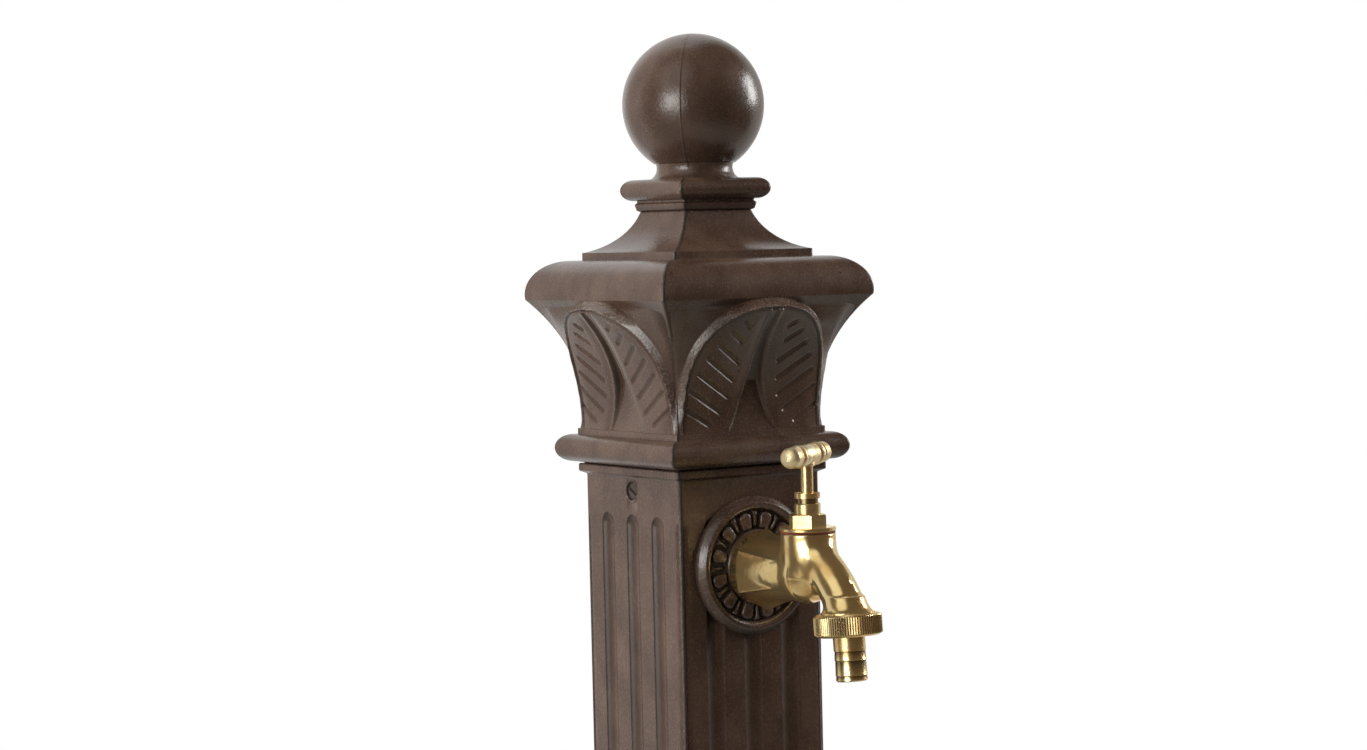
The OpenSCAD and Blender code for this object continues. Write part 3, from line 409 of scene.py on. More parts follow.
for z, out in shaft_levels:
    half = shaft_w + out
    sink, flute_shade = flute(face_u, np.full_like(face_u, z))
    u = face_u * (half - shaft_corner) / (shaft_w - shaft_corner)
    bend_x, bend_y = half - shaft_corner * (1 - np.sin(bend)), shaft_corner * (1 - np.cos(bend)) - half
    side = np.concatenate([
        np.stack([u, sink - half, 0 * u + z], -1), np.stack([bend_x, bend_y, 0 * bend + z], -1),
    ])
    shaft_rings.append(np.concatenate(list(quartered(side))))
    shaft_grime.append(np.tile(np.concatenate([flute_shade, corner]), 4))
    shaft_wear.append(np.tile(np.concatenate([flute_shade * 0, scuff]), 4))
for end, level in ((0, shaft_foot), (-1, shaft_top)):
    shaft_rings[end] = shaft_rings[end] * (0.9, 0.9, 0) + (0, 0, level)
shaft = skin("shaft", shaft_rings, 40, grime=shaft_grime, wear=shaft_wear)
screw_foot, screw_top, recess_r, recess_depth = 119.3, 776.8, 4.7, 2.2
recess_out, recess_in = shaft_w + 3, shaft_w - recess_depth
recess_outline = [(recess_out, 0), (recess_out, recess_r), (recess_in, recess_r), (recess_in, 0)]
drilled(shaft, [
    [[(side * x, r * math.cos(t), z + r * math.sin(t)) for t in full_turn(48)] for x, r in recess_outline]
    for side in (-1, 1) for z in (screw_foot, screw_top)
])
fit(shaft, brown_paint, "paint", "column", "shaft")

# Fixing screws: four slotted steel screws in countersunk recesses of the two side faces,
# two at the foot and two at the top, painted over with the column. The shade in their
# recesses and a highlight on the recesses' lower rims are painted on.
screw_r, dome_r, dome_h, dome_sunk = 4.1, 4.6, 1.2, 1.5
slot_w, slot_depth, slot_turn = 1.2, 1.0, math.radians(60)
screw_outline = [
    *((r, dome_h * math.sqrt(1 - (r / dome_r) ** 2) - dome_sunk) for r in np.linspace(0, 3.9, 22)),
    (screw_r, -1.1), (screw_r, -2.0), (recess_r - 0.1, -2.0), (recess_r - 0.1, -0.2), (recess_r + 0.1, 0.15),
    (recess_r + 0.45, 0.2), (recess_r + 0.8, -0.05), (recess_r + 0.8, -0.4), (0, -2.6),
]
turns = full_turn(96)
screw_rings, screw_grime, screw_wear = [], [], []
for r, z in screw_outline:
    beside = np.abs(r * np.sin(turns - slot_turn)) - slot_w / 2
    slot = slot_depth / (1 + np.exp(beside / 0.08)) * (r <= screw_r and z > -dome_sunk)
    screw_rings.append(ring_at(r, z - slot, turns))
    # The head, its slot and the moat round it are painted dark as the shade in the recess, and the lower rim
    # of the recess is painted light as a highlight.
    screw_grime.append((0.55 if r < 4 else 1.0 if z < -0.1 else 0.2) + 0.4 * slot / slot_depth)
    screw_wear.append(np.maximum(-np.cos(turns), 0) ** 2 * 1.4 * (r > recess_r and z > 0))
screw = skin("screw_pattern", screw_rings, 50, grime=screw_grime, wear=screw_wear)


class Tree:
    """A Geometry Nodes tree with named inputs that ends in realised, finished meshes."""

    def __init__(self, name, **inputs):
        self.tree = bpy.data.node_groups.new(name, "GeometryNodeTree")
        self.tree.interface.new_socket("Mesh", in_out="OUTPUT", socket_type="NodeSocketGeometry")
        kinds = {int: "Int", float: "Float", tuple: "Vector"}
        kinds.update({bpy.types.Object: "Object", bpy.types.Material: "Material"})
        self.values = {}
        for label, value in inputs.items():
            kind = "NodeSocket" + kinds[type(value)]
            socket = self.tree.interface.new_socket(label, in_out="INPUT", socket_type=kind)
            self.values[socket.identifier] = value
        self.given = self.tree.nodes.new("NodeGroupInput").outputs

    def node(self, kind, settings=(), sockets=(), out=0):
        return wired(self.tree, kind, settings, sockets).outputs[out]

    def mesh(self, name, geometry, finish):
        """The tree's result as a plain mesh piece."""
        real = self.node("GeometryNodeRealizeInstances", {}, {0: geometry})
        done = self.node("GeometryNodeSetMaterial", {}, {"Geometry": real, "Material": finish})
        self.tree.links.new(done, self.tree.nodes.new("NodeGroupOutput").inputs[0])
        piece = bpy.data.objects.new(name, bpy.data.meshes.new(name))
        bpy.context.collection.objects.link(piece)
        maker = piece.modifiers.new(name, "NODES")
        maker.node_group = self.tree
        for identifier, value in self.values.items():
            maker[identifier] = value
        baked(piece)
        return piece


row = Tree(
    "screw_rows", Screw=screw, Foot=(-shaft_w * MM, 0.0, screw_foot * MM),
    Rise=(0.0, 0.0, (screw_top - screw_foot) * MM), Finish=brown_paint,
)
line = row.node(
    "GeometryNodeMeshLine", {},
    {"Count": 2, "Start Location": row.given["Foot"], "Offset": row.given["Rise"]},
)
head = row.node("GeometryNodeObjectInfo", {}, {"Object": row.given["Screw"]}, "Geometry")
left = row.node(
    "GeometryNodeInstanceOnPoints", {},
    {"Points": line, "Instance": head, "Rotation": (0.0, math.radians(-90), 0.0)},
)
right = row.node("GeometryNodeTransform", {}, {"Geometry": left, "Rotation": (0.0, 0.0, math.pi)})
both = row.node("GeometryNodeJoinGeometry", {}, {0: [left, right]})
screws = row.mesh("fixing_screws", both, row.given["Finish"])
unused(screw)
fit(screws, brown_paint, "paint", "column", "shaft_screws", "capital_screws")

# Capital: a hollow iron casting on the shaft's top, painted brown, with a roll, a bell, a
# quarter-round and a hollow roof. Its spigot goes into the shaft and is screwed from the sides.
bell_foot, waist_z, arris_z = 17.5, 30, 81.9
waist_w, bell_bow, bell_seat_w = 42.4, 77.6, 44.4
ovolo_w, ovolo_r, nose_turn = 46, 16.5, -8.7
step_w, step_z, roof_w, roof_z, roof_bow = 41.3, 100.9, 40.7, 104.7, 29.4
roof_top_w, capital_h = 20, 124.4


def bell(z):
    """Half the bell's width at a height above the capital's foot."""
    return waist_w + bell_bow - np.sqrt(bell_bow ** 2 - (np.asarray(z) - waist_z) ** 2)


capital_profile = [
    (0, 0), (shaft_seat_w, 0), (shaft_seat_w, shaft_seat_h),
    *arc((torus_w, shaft_seat_h + torus_r), torus_r, -90, 90, 18),
    (bell_seat_w, shaft_seat_h + 2 * torus_r), (bell_seat_w, bell_foot),
    *((float(bell(z)), z) for z in np.linspace(bell_foot, arris_z, 26)),
    *arc((ovolo_w, step_z - ovolo_r), ovolo_r, nose_turn, 90, 18)[1:],
    (step_w, step_z), (step_w, roof_z),
    *hollow((roof_w, roof_z), (roof_top_w, capital_h), roof_bow, 18),
    (0, capital_h),
]
capital_profile = [(w, z + shaft_top) for w, z in capital_profile]
capital = mitred("capital", softened(capital_profile, 0.5), 1.3, shaft_top + 0.5)
fit(capital, brown_paint, "paint", "column", "capital")

# Leaves: one on each face of the bell, cast with the capital. Each has a raised arched rim
# that the bell swells up to, a tip that rolls back under the quarter-round, a hollow down its
# middle and seven slanting cuts on each half. The shade in its creases and a sheen on its rim
# are painted on.
leaf_foot, leaf_foot_w, leaf_bow, tip_roll = 19.5, 43.6, 79.67, 6
arch_r, arch_z, inner_r, inner_z, arch_power = 42, 39.9, 39.4, 38.4, 2.3
rim_fall, seat_sunk, back_sunk = 3.1, 0.15, 3
hollow_half, hollow_bow, hollow_z, spine_h = 2.1, 97.1, 62.4, 53
cut_r, cut_floor_r = 1.7, 0.2
cuts = [
    ((15.2, 69.9), (11.4, 67.9)), ((20.2, 65.3), (13.0, 61.0)), ((25.3, 59.4), (11.8, 50.9)),
    ((29.8, 53.2), (12.9, 42.5)), ((33.0, 45.8), (14.7, 34.4)), ((36.3, 37.7), (18.9, 27.0)),
    ((38.2, 28.8), (25.5, 21.4)),
]


def step(low, high, value):
    """Nothing at the low value, one at the high one, soft between."""
    t = np.clip((value - low) / (high - low), 0, 1)
    return t * t * (3 - 2 * t)


def arch_reach(u, z):
    """How far out a place lies in an arch that is a little squarer than a circle."""
    return (u ** arch_power + np.maximum(z, 0) ** arch_power) ** (1 / arch_power)


def leaf_face(z):
    """How far from the axis a leaf's face and the crest of its rim stand at a height."""
    rise = np.clip(z - leaf_foot, 0, arris_z - tip_roll - leaf_foot)
    crest = 0.35 + 0.3 * step(18, 34, z) - 0.5 * step(52, 66, z)
    return leaf_foot_w + leaf_bow - np.sqrt(leaf_bow ** 2 - rise ** 2), crest


def leaf_seat(z):
    """How far from the axis a leaf's edge meets the bell, which swells towards it."""
    swell = np.maximum(sum(leaf_face(z)) - rim_fall - 0.07 * np.maximum(z - 52, 0) - bell(z), 0)
    return bell(z) - seat_sunk + swell * step(81, 68, z)


def leaf_form(u, z):
    """How far a leaf's face stands from the axis at a place on it, with painted shade in its creases, cuts
    and hollow, and painted sheen with light scuffs on its rim and lips.
    """
    u = np.abs(u)
    face, crest = leaf_face(z)
    rim_in = arch_r - arch_reach(u, z - arch_z)
    spread = 1.2 * (np.maximum(inner_z + 12 - z, 0) / (inner_z + 12 - bell_foot)) ** 1.3
    lobe_in = inner_r + spread - arch_reach(u, z - inner_z)
    share = np.clip(rim_in / np.maximum(rim_in - lobe_in, 0.3), 0, 1)
    wall = leaf_seat(z) + (face + crest - leaf_seat(z)) * share
    wall = wall - 0.5 * np.exp(-(u / 0.9) ** 2) * step(60, 76, z) * share
    widening = hollow_bow - np.sqrt(hollow_bow ** 2 - np.minimum(z - hollow_z, 0) ** 2)
    beside = u - hollow_half - widening
    swell = 0.8 * step(0, 7, beside) * step(0, 9, lobe_in) + 0.3 * np.exp(-((beside - 1.1) / 0.8) ** 2)
    groove = np.zeros_like(u)
    for (u1, z1), (u2, z2) in cuts:
        du, dz = u2 - u1, z2 - z1
        along = np.clip(((u - u1) * du + (z - z1) * dz) / (du ** 2 + dz ** 2), 0, 1)
        off = np.hypot(u - u1 - along * du, z - z1 - along * dz)
        groove = np.maximum(groove, step(cut_r, cut_floor_r, off))
    lobe = face + crest * step(0.9, 0, lobe_in) - 0.5 * np.exp(-((lobe_in - 1.1) / 0.7) ** 2)
    lobe = lobe + swell - groove
    sunk = np.minimum(face - bell(z) - 0.2, 1.3 + 0.06 * np.maximum(75 - z, 0))
    middle = step(0.8, -0.8, beside) * step(0, 1.2, lobe_in)
    lobe = lobe + np.minimum(face - sunk - lobe, 0) * middle
    front = np.where(lobe_in < 0, wall, lobe)
    inside = step(-0.2, 0.4, lobe_in)
    # Painted shade in the crease inside the rim, along the hollow and in the cuts.
    shade_and_dirt = 0.9 * np.exp(-((lobe_in - 0.8) / 0.5) ** 2) + 0.5 * np.exp(-(beside / 0.5) ** 2)
    shade_and_dirt = inside * (shade_and_dirt + 0.2 * groove)
    # Painted sheen, as light scuffs, on the rim, its inner crest and the lips beside the hollow.
    rub_and_sheen = 0.45 * step(0.05, 0.3, share) * (1 - inside) + 0.5 * np.exp(-(lobe_in / 0.45) ** 2)
    rub_and_sheen = rub_and_sheen + 0.4 * inside * np.exp(-((beside - 1.2) / 0.5) ** 2)
    return front, np.clip(shade_and_dirt, 0, 1), np.clip(rub_and_sheen, 0, 1)


edge_run = np.linspace(0, 1, 176)
edge_len = (arch_z - bell_foot) + arch_r * math.pi / 2
up = np.clip(edge_run * edge_len, 0, arch_z - bell_foot)
turn = np.clip(edge_run * edge_len - (arch_z - bell_foot), 0, None) / arch_r
edge_u = arch_r * np.cos(turn) ** (2 / arch_power)
edge_z = bell_foot + up + arch_r * np.sin(turn) ** (2 / arch_power)
edge_u[-1] = 0
spine_z = bell_foot + edge_run * spine_h
across = np.linspace(0, 1, 84)
across = across - 0.4 * np.sin(2 * math.pi * across) / (2 * math.pi)
grid_u = edge_u[:, None] * (1 - across)
grid_z = edge_z[:, None] * (1 - across) + spine_z[:, None] * across
grid_w, grid_grime, grid_wear = leaf_form(grid_u, grid_z)
edge_u, edge_z = edge_u[:, None], edge_z[:, None]
bell_w = bell(np.clip(edge_z, bell_foot, arris_z))
back_w, low_w = bell_w - back_sunk, bell_w - seat_sunk
seat_run = np.array([1, 1, 0.6, 0.25, 0.06, 0.015])
corner_u = np.maximum(bell_w - 0.6, edge_u + 0.1)
leaf_seats = low_w + (grid_w[:, :1] - low_w) * (1 - seat_run)
leaf_seats[:, :1] = back_w
grid_u = np.concatenate([0 * back_w, edge_u + (corner_u - edge_u) * seat_run, grid_u], 1)
grid_z = np.concatenate([edge_z, edge_z + 0 * seat_run, grid_z], 1)
grid_w = np.concatenate([back_w - 0.3, leaf_seats, grid_w], 1)
foot_rows = [(grid_u[:1], grid_z[:1], np.minimum(grid_w[:1], back_w[0, 0])), (grid_u, grid_z, grid_w)]
grid_u, grid_z, grid_w = (np.concatenate(parts) for parts in zip(*foot_rows))
grid_grime, grid_wear = (np.pad(g, ((1, 0), (len(seat_run) + 1, 0))) for g in (grid_grime, grid_wear))
rows, count = grid_u.shape
half_faces = grid_faces(rows, count, count - 1)
leaf_faces = half_faces + [tuple(rows * count + n for n in face[::-1]) for face in half_faces]
leaf_points = np.concatenate([
    np.stack([side * grid_u, -grid_w, grid_z + shaft_top], -1).reshape(-1, 3) for side in (1, -1)
])
for side, points in zip(("front", "right", "back", "left"), quartered(leaf_points)):
    mesh = bpy.data.meshes.new("leaf_" + side)
    mesh.from_pydata((points * MM).tolist(), [], leaf_faces)
    marked(mesh, {"grime": [grid_grime] * 2, "wear": [grid_wear] * 2})
    fit(placed("leaf_" + side, mesh, 75), brown_paint, "paint", "column")

# Finial: a ball on a hollow neck over a square plate with half-round edges and a seat, one
# iron casting painted brown. A stud from inside the capital holds it. A faint seam of the
# mould runs over the ball from corner to corner.
finial_foot = shaft_top + capital_h
seat_w, seat_h, plate_w, plate_h = 21.6, 5.3, 27.2, 10.4
plate_top = seat_h + plate_h
plate_profile = [
    (0, 0), (seat_w - 1.2, 0), (seat_w - 0.2, 0.6), (seat_w + 0.5, 3.5), (seat_w - 0.4, 4.3),
    (seat_w - 0.4, seat_h),
    *arc((plate_w - plate_h / 2, seat_h + plate_h / 2), plate_h / 2, -90, 90, 20), (0, plate_top),
]
plate_profile = [(w, z + finial_foot) for w, z in plate_profile]
plate = mitred("finial_plate", softened(plate_profile, 0.5), 1.4, finial_foot)
fit(plate, brown_paint, "paint", "column", "finial")

ball_z, ball_r, ball_start = 52, 35, -55.3
neck_r, neck_z, neck_bow, neck_stop = 18.75, 21, 6, 23.1
ball_outline = []
for z in np.linspace(plate_top - 0.3, neck_stop, 12):
    ball_outline.append((neck_r + neck_bow - math.sqrt(neck_bow ** 2 - (z - neck_z) ** 2), z))
ball_outline += arc((0, ball_z), ball_r, ball_start, 90, 64)
ball_turns = np.linspace(0, 360, 120, endpoint=False)
seam_near = np.array([-2.2, -1.4, -0.9, -0.55, -0.3, -0.12, 0.12, 0.3, 0.55, 0.9, 1.4, 2.2])
ball_turns = np.radians(np.unique(np.concatenate([ball_turns, 45 + seam_near, 225 + seam_near])))
ball_rings, ball_grime = [[(0, 0, ball_outline[0][1] + finial_foot)] * len(ball_turns)], [0 * ball_turns]
for r, z in ball_outline:
    off = np.abs(r * np.sin(ball_turns - math.pi / 4))
    seam = np.exp(-(off / 0.4) ** 2) * (z > neck_z)
    ball_rings.append(ring_at(r + 0.16 * seam, z + finial_foot, ball_turns))
    ball_grime.append(0.3 * np.exp(-((off - 0.5) / 0.3) ** 2) * (z > neck_z))
ball = skin("finial_ball", ball_rings, 40, grime=ball_grime)
fit(ball, brown_paint, "paint", "column")
dress(steel, "finial_stud", "finial_washer", "finial_nut")

# Inlet: a brass elbow inside the shaft with a fibre washer against the front wall, clamped by a
# locknut outside that the rosette covers. Only small parts of it are ever seen.


def washer_stuff(name, grain, low, high, dark, light, roughness, depth):
    """A dull, grainy stuff in two tones."""
    new = Finish(bpy.data.materials.new(name))
    fuzz = new.noise(grain, 4)
    return new.surface({
        "Base Color": new.mix(new.band(fuzz, low, high), dark, light),
        "Roughness": roughness + fuzz * 0.2,
        "Normal": new.bump(fuzz, depth),
    })


fibre = washer_stuff("fibre_board", 0.6, 0.35, 0.65, srgb(84, 36, 27), srgb(108, 54, 40), 0.7, 0.06)
dress(fibre, "elbow_washer")
dress(plumbing_brass, "elbow", "elbow_locknut")

# Rosette: a round iron plate under the tap with a half-round rim, a hub, and a ring of twelve
# eggs and twelve darts, cast in one and painted brown. The tap's hexagon holds it to the face.
tap_z, face_y = 740.6, -41.5
rosette_r, rim_r, hub_r, rosette_h, floor_h = 33.75, 3.25, 17.75, 5.9, 1.97
crown_in, crown_bow, hub_round, egg_count = 3.7, 2.8, 1.1, 12


def turned(name, outline, count=128, edge_angle=35, **marks):
    """A piece turned on a lathe from a profile of radius and height, standing on its axis."""
    rings = [ring_at(r, z, full_turn(count)) for r, z in outline]
    marks = {mark: np.repeat(np.asarray(values)[:, None], count, 1) for mark, values in marks.items()}
    return skin(name, rings, edge_angle, **marks)


def set_at(piece, x, y, z, *turns):
    """Moves a mesh to its place in millimetres, after turns given as an angle and an axis."""
    spot = Matrix.Translation(Vector((x, y, z)) * MM)
    for angle, axis in turns:
        spot = spot @ Matrix.Rotation(math.radians(angle), 4, axis)
    piece.data.transform(spot)


rim_in_r = rosette_r - 2 * rim_r
rosette_profile = [
    (0, 0), (rosette_r - 0.4, 0), (rosette_r, 0.4), (rosette_r, 1.9), (rosette_r - 0.5, 3.1),
    (rosette_r - 2.9, rosette_h - 0.3), (rosette_r - crown_in, rosette_h),
    *arc((rosette_r - crown_in, rosette_h - crown_bow), crown_bow, 80, 180, 12),
    (rim_in_r, floor_h), (hub_r + 0.3, floor_h), (hub_r, floor_h + 0.4), (hub_r, rosette_h - 0.7),
    *arc((hub_r - hub_round, rosette_h - hub_round), hub_round, 0, 90, 6), (0, rosette_h),
]
rosette_profile = softened(rosette_profile, 0.4)
rosette_wear = [0.3 * (r > rosette_r - 3.2) * (z > 1.5) for r, z in rosette_profile]
# The channel's floor between the hub and the rim is darker.
rosette_grime = [
    math.exp(-((z - floor_h) / 0.5) ** 2) * (hub_r - 1 < r < rim_in_r + 1) for r, z in rosette_profile
]
rosette = turned("rosette", rosette_profile, 144, 35, grime=rosette_grime, wear=rosette_wear)


def raised(name, plan, levels):
    """A small raised ornament: one plan, drawn in towards its middle as it rises."""
    plan = np.asarray(plan, float)
    middle = plan.mean(0)
    rings, wear = [], []
    for share, z in levels:
        flat = middle + (plan - middle) * share
        rings.append(np.column_stack([flat, np.full(len(flat), z)]))
        wear.append(np.full(len(flat), 0.35 if 0.7 < share < 1 else 0.0))
    return skin(name, rings, 60, wear=wear)


egg_side = [(18.3, 2.3), (24.2, 3.25), (25.4, 2.7), (26.2, 1.5)]
egg_plan = [(r, -t) for r, t in egg_side] + [(26.4, 0)] + egg_side[::-1] + [(18.1, 0)]
egg_levels = [(0, 1), (1, 1), (1, 3.9), (0.92, 4.4), (0.82, 4.6), (0.4, 4.7), (0, 4.7)]
egg = raised("egg_pattern", egg_plan, egg_levels)
dart_side = [(18.3, 0.7), (24, 0.9), (25.6, 1.5), (26.8, 1.7)]
dart_plan = [(r, -t) for r, t in dart_side] + [(27.1, 0)] + dart_side[::-1]
dart = raised("dart_pattern", dart_plan, [(0, 1), (1, 1), (1, 2.6), (0.75, 3.5), (0.3, 4.0), (0, 4.1)])


def ring_of(name, pattern, count, start, material):
    """A pattern set round an axis as often as it is wanted."""
    tree = Tree(name, Pattern=pattern, Count=count, Start=math.radians(start), Finish=material)
    seat = tree.node("GeometryNodeMeshCircle", {}, {"Vertices": tree.given["Count"], "Radius": 0.0})
    number = tree.node("GeometryNodeInputIndex")
    share = tree.node("ShaderNodeMath", {"operation": "DIVIDE"}, {0: number, 1: tree.given["Count"]})
    angle = tree.node(
        "ShaderNodeMath", {"operation": "MULTIPLY_ADD"},
        {0: share, 1: 2 * math.pi, 2: tree.given["Start"]},
    )
    spin = tree.node("ShaderNodeCombineXYZ", {}, {"Z": angle})
    shape = tree.node("GeometryNodeObjectInfo", {}, {"Object": tree.given["Pattern"]}, "Geometry")
    copies = tree.node(
        "GeometryNodeInstanceOnPoints", {}, {"Points": seat, "Instance": shape, "Rotation": spin},
    )
    piece = tree.mesh(name, copies, tree.given["Finish"])
    unused(pattern)
    return piece


eggs = ring_of("rosette_eggs", egg, egg_count, 180 / egg_count, brown_paint)
darts = ring_of("rosette_darts", dart, egg_count, 0.0, brown_paint)
for piece, nodes in ((rosette, ["rosette"]), (eggs, []), (darts, [])):
    set_at(piece, 0, face_y, tap_z, (90, "X"))
    fit(piece, brown_paint, "paint", "column", *nodes)

# Tap body: a brass casting, polished all over, with a tapered hexagon for the spanner, an
# upright barrel on a round belly, and a bent spout that flares to the outlet's thread. Its
# inlet screws into the elbow behind the rosette.
spindle_reach, outlet_reach, outlet_drop, outlet_lean = 46.3, 75.8, 16.9, 5
spindle_y, outlet_y, outlet_z = face_y - spindle_reach, face_y - outlet_reach, tap_z - outlet_drop
outlet_r, outlet_l, flare_h, neck_drop, barrel_top = 13.1, 5.6, 8, 1.2, 18.9
chamber_r, seat_r, seat_z, seat_deep = 9.6, 5.2, -1.7, 3
tap_start, spanner_half, spanner_taper = 5.6, 18.8, 0.3
belly_r, barrel_r, spout_r, flare_in_r = 13.4, 13.2, 9.3, 8
spout_bow, spout_y, spout_z, spout_from, spout_to = 59, 24.7, 45.4, 22, 60


def blended(first, second, reach):
    """The gap to two shapes that run into each other with a fillet."""
    near = np.maximum(reach - np.abs(first - second), 0) / reach
    return np.minimum(first, second) - near * near * reach / 4


def tap_gap(spot):
    """Distance from a place to the tap's skin, in millimetres from where the inlet meets the face."""
    x, y, z = spot[..., 0], spot[..., 1], spot[..., 2]
    low = z + neck_drop
    round_xz, out = np.hypot(x, low), -rosette_h - y
    flats = (0, math.pi / 3, 2 * math.pi / 3)
    sides = np.sort([np.abs(x * math.cos(a) + low * math.sin(a)) for a in flats], 0)
    near = np.maximum(3 - (sides[2] - sides[1]), 0)
    hexagon = (sides[2] - near * near / 14 - (spanner_half - spanner_taper * out)) * 0.96
    chamfer = (round_xz - np.maximum(17.5, 13.5 + out)) * 0.75
    hexagon = -blended(-hexagon, -chamfer, 0.7)
    hexagon = np.maximum(hexagon, y + tap_start)
    neck = round_xz - np.clip(15 - 0.1 * (out - 13), 12.9, 15.2)
    neck = np.maximum(np.maximum(neck, -spindle_reach - y), y + tap_start)
    upright = np.hypot(x, y + spindle_reach)
    belly = np.sqrt(upright ** 2 + low ** 2) - belly_r
    barrel = np.maximum(upright - barrel_r, -low)
    way_y, way_z = y + spout_y, z + spout_z
    along = np.clip(np.arctan2(-way_y, way_z), math.radians(spout_from), math.radians(spout_to))
    bend_y, bend_z = way_y + spout_bow * np.sin(along), way_z - spout_bow * np.cos(along)
    spout = np.sqrt(x ** 2 + bend_y ** 2 + bend_z ** 2) - spout_r
    lean = math.radians(outlet_lean)
    down_y, down_z = y + outlet_reach, z + outlet_drop
    rise = down_y * math.sin(lean) + down_z * math.cos(lean)
    off = np.hypot(x, down_y * math.cos(lean) - down_z * math.sin(lean))
    flare = (off - flare_in_r - (outlet_r - flare_in_r) * np.clip(1 - rise / flare_h, 0, 1) ** 2) * 0.7
    flare = np.maximum(flare, np.maximum(-rise, rise - flare_h + 1))
    body = blended(hexagon, neck, 1.2)
    body = blended(body, blended(barrel, belly, 1.5), 2)
    body = blended(body, spout, 5)
    body = blended(body, flare, 3)
    body = -blended(-body, -(z - barrel_top), 0.8)
    chamber = np.maximum(upright - chamber_r, seat_z - z)
    chamber = np.minimum(chamber, np.maximum(upright - seat_r, seat_z - seat_deep - z))
    return np.maximum(np.maximum(body, -rise), -chamber)


def cast_mesh(name, gap, low, high, size):
    """A mesh over a gap's zero surface: one point in each cell it crosses, pulled onto it."""
    axes = [np.arange(a, b, size) for a, b in zip(low, high)]
    grid = np.stack(np.meshgrid(*axes, indexing="ij"), -1)
    inside = gap(grid) < 0
    filled = sum(
        inside[i:len(axes[0]) - 1 + i, j:len(axes[1]) - 1 + j, k:len(axes[2]) - 1 + k].astype(int)
        for i in (0, 1) for j in (0, 1) for k in (0, 1)
    )
    cells = np.argwhere((filled > 0) & (filled < 8))
    number = np.full(filled.shape, -1)
    number[tuple(cells.T)] = np.arange(len(cells))
    points = np.asarray(low) + (cells + 0.5) * size
    faces = []
    for axis in range(3):
        change = np.argwhere(np.diff(inside, axis=axis))
        one, two = np.eye(3, dtype=int)[[(axis + 1) % 3, (axis + 2) % 3]]
        around = [number[tuple((change - move).T)] for move in (0 * one, one, one + two, two)]
        faces.append(np.stack(around, -1))
    faces = np.concatenate(faces)

    def pulled(points):
        for n in range(2):
            nudge = 0.02 * np.eye(3)
            slope = np.stack([gap(points + d) - gap(points - d) for d in nudge], -1) / 0.04
            slope /= np.maximum((slope ** 2).sum(-1, keepdims=True), 0.2)
            points = points - np.clip(gap(points), -size, size)[:, None] * slope
        return points

    links = np.concatenate([faces[:, [n, (n + 1) % 4]] for n in range(4)])
    for n in range(4):
        total, seen = np.zeros_like(points), np.zeros(len(points))
        for here, there in (links.T, links.T[::-1]):
            np.add.at(total, here, points[there])
            np.add.at(seen, here, 1)
        points = pulled(0.5 * points + 0.5 * total / seen[:, None])
    mesh = bpy.data.meshes.new(name)
    mesh.from_pydata((points * MM).tolist(), [], faces.tolist())
    return mesh


tap_body = placed("tap_body", cast_mesh("tap_body", tap_gap, (-23, -95, -32), (23, -4, 20), 0.6), 60)
set_at(tap_body, 0, face_y, tap_z)
polish = Finish(bpy.data.materials.new("cast_brass"))
stain = polish.band(polish.noise(13, 4), 0.4, 0.7)
pores = polish.noise(0.5, 2)
cast_brass = polish.surface({
    "Base Color": polish.mix(stain, srgb(246, 221, 160), srgb(224, 186, 121)),
    "Metallic": 0.95 - stain * 0.05,
    "Roughness": 0.12 + stain * 0.1 + pores * 0.04,
    "Normal": polish.bump(polish.noise(11, 2) * 12 + pores * 0.1, 0.03),
})
fit(tap_body, cast_brass, "cast_brass", "column", "tap_body")


def lathe_metal(name, light, dark, roughness, turns_along):
    """Bright metal with the fine lines that a lathe leaves across its axis."""
    return metal(name, light, dark, roughness, 11, turns_along, 0.45, 0.006)


def at_outlet(piece):
    """Moves a piece from its own axis to the tap's outlet."""
    set_at(piece, 0, outlet_y, outlet_z, (-outlet_lean, "X"))


thread_pitch, thread_h, waterway_r = 1.4, 0.5, 6.5
root_r = outlet_r - thread_h
collar_profile = [(waterway_r, 0.5), (root_r, 0.5)]
for n in range(4):
    top = -0.1 - n * thread_pitch
    collar_profile += [(root_r, top), (outlet_r, top - 0.55), (outlet_r, top - 0.7), (root_r, top - 1.25)]
collar_profile += [(outlet_r - 1, -outlet_l), (waterway_r, -outlet_l), (waterway_r, 0.5)]
collar = turned("outlet_thread", collar_profile, 96)
at_outlet(collar)
turned_brass = lathe_metal("turned_brass", srgb(248, 226, 168), srgb(230, 192, 130), 0.18, (0.04, 0.04, 1))
fit(collar, turned_brass, "turned_brass", "column")

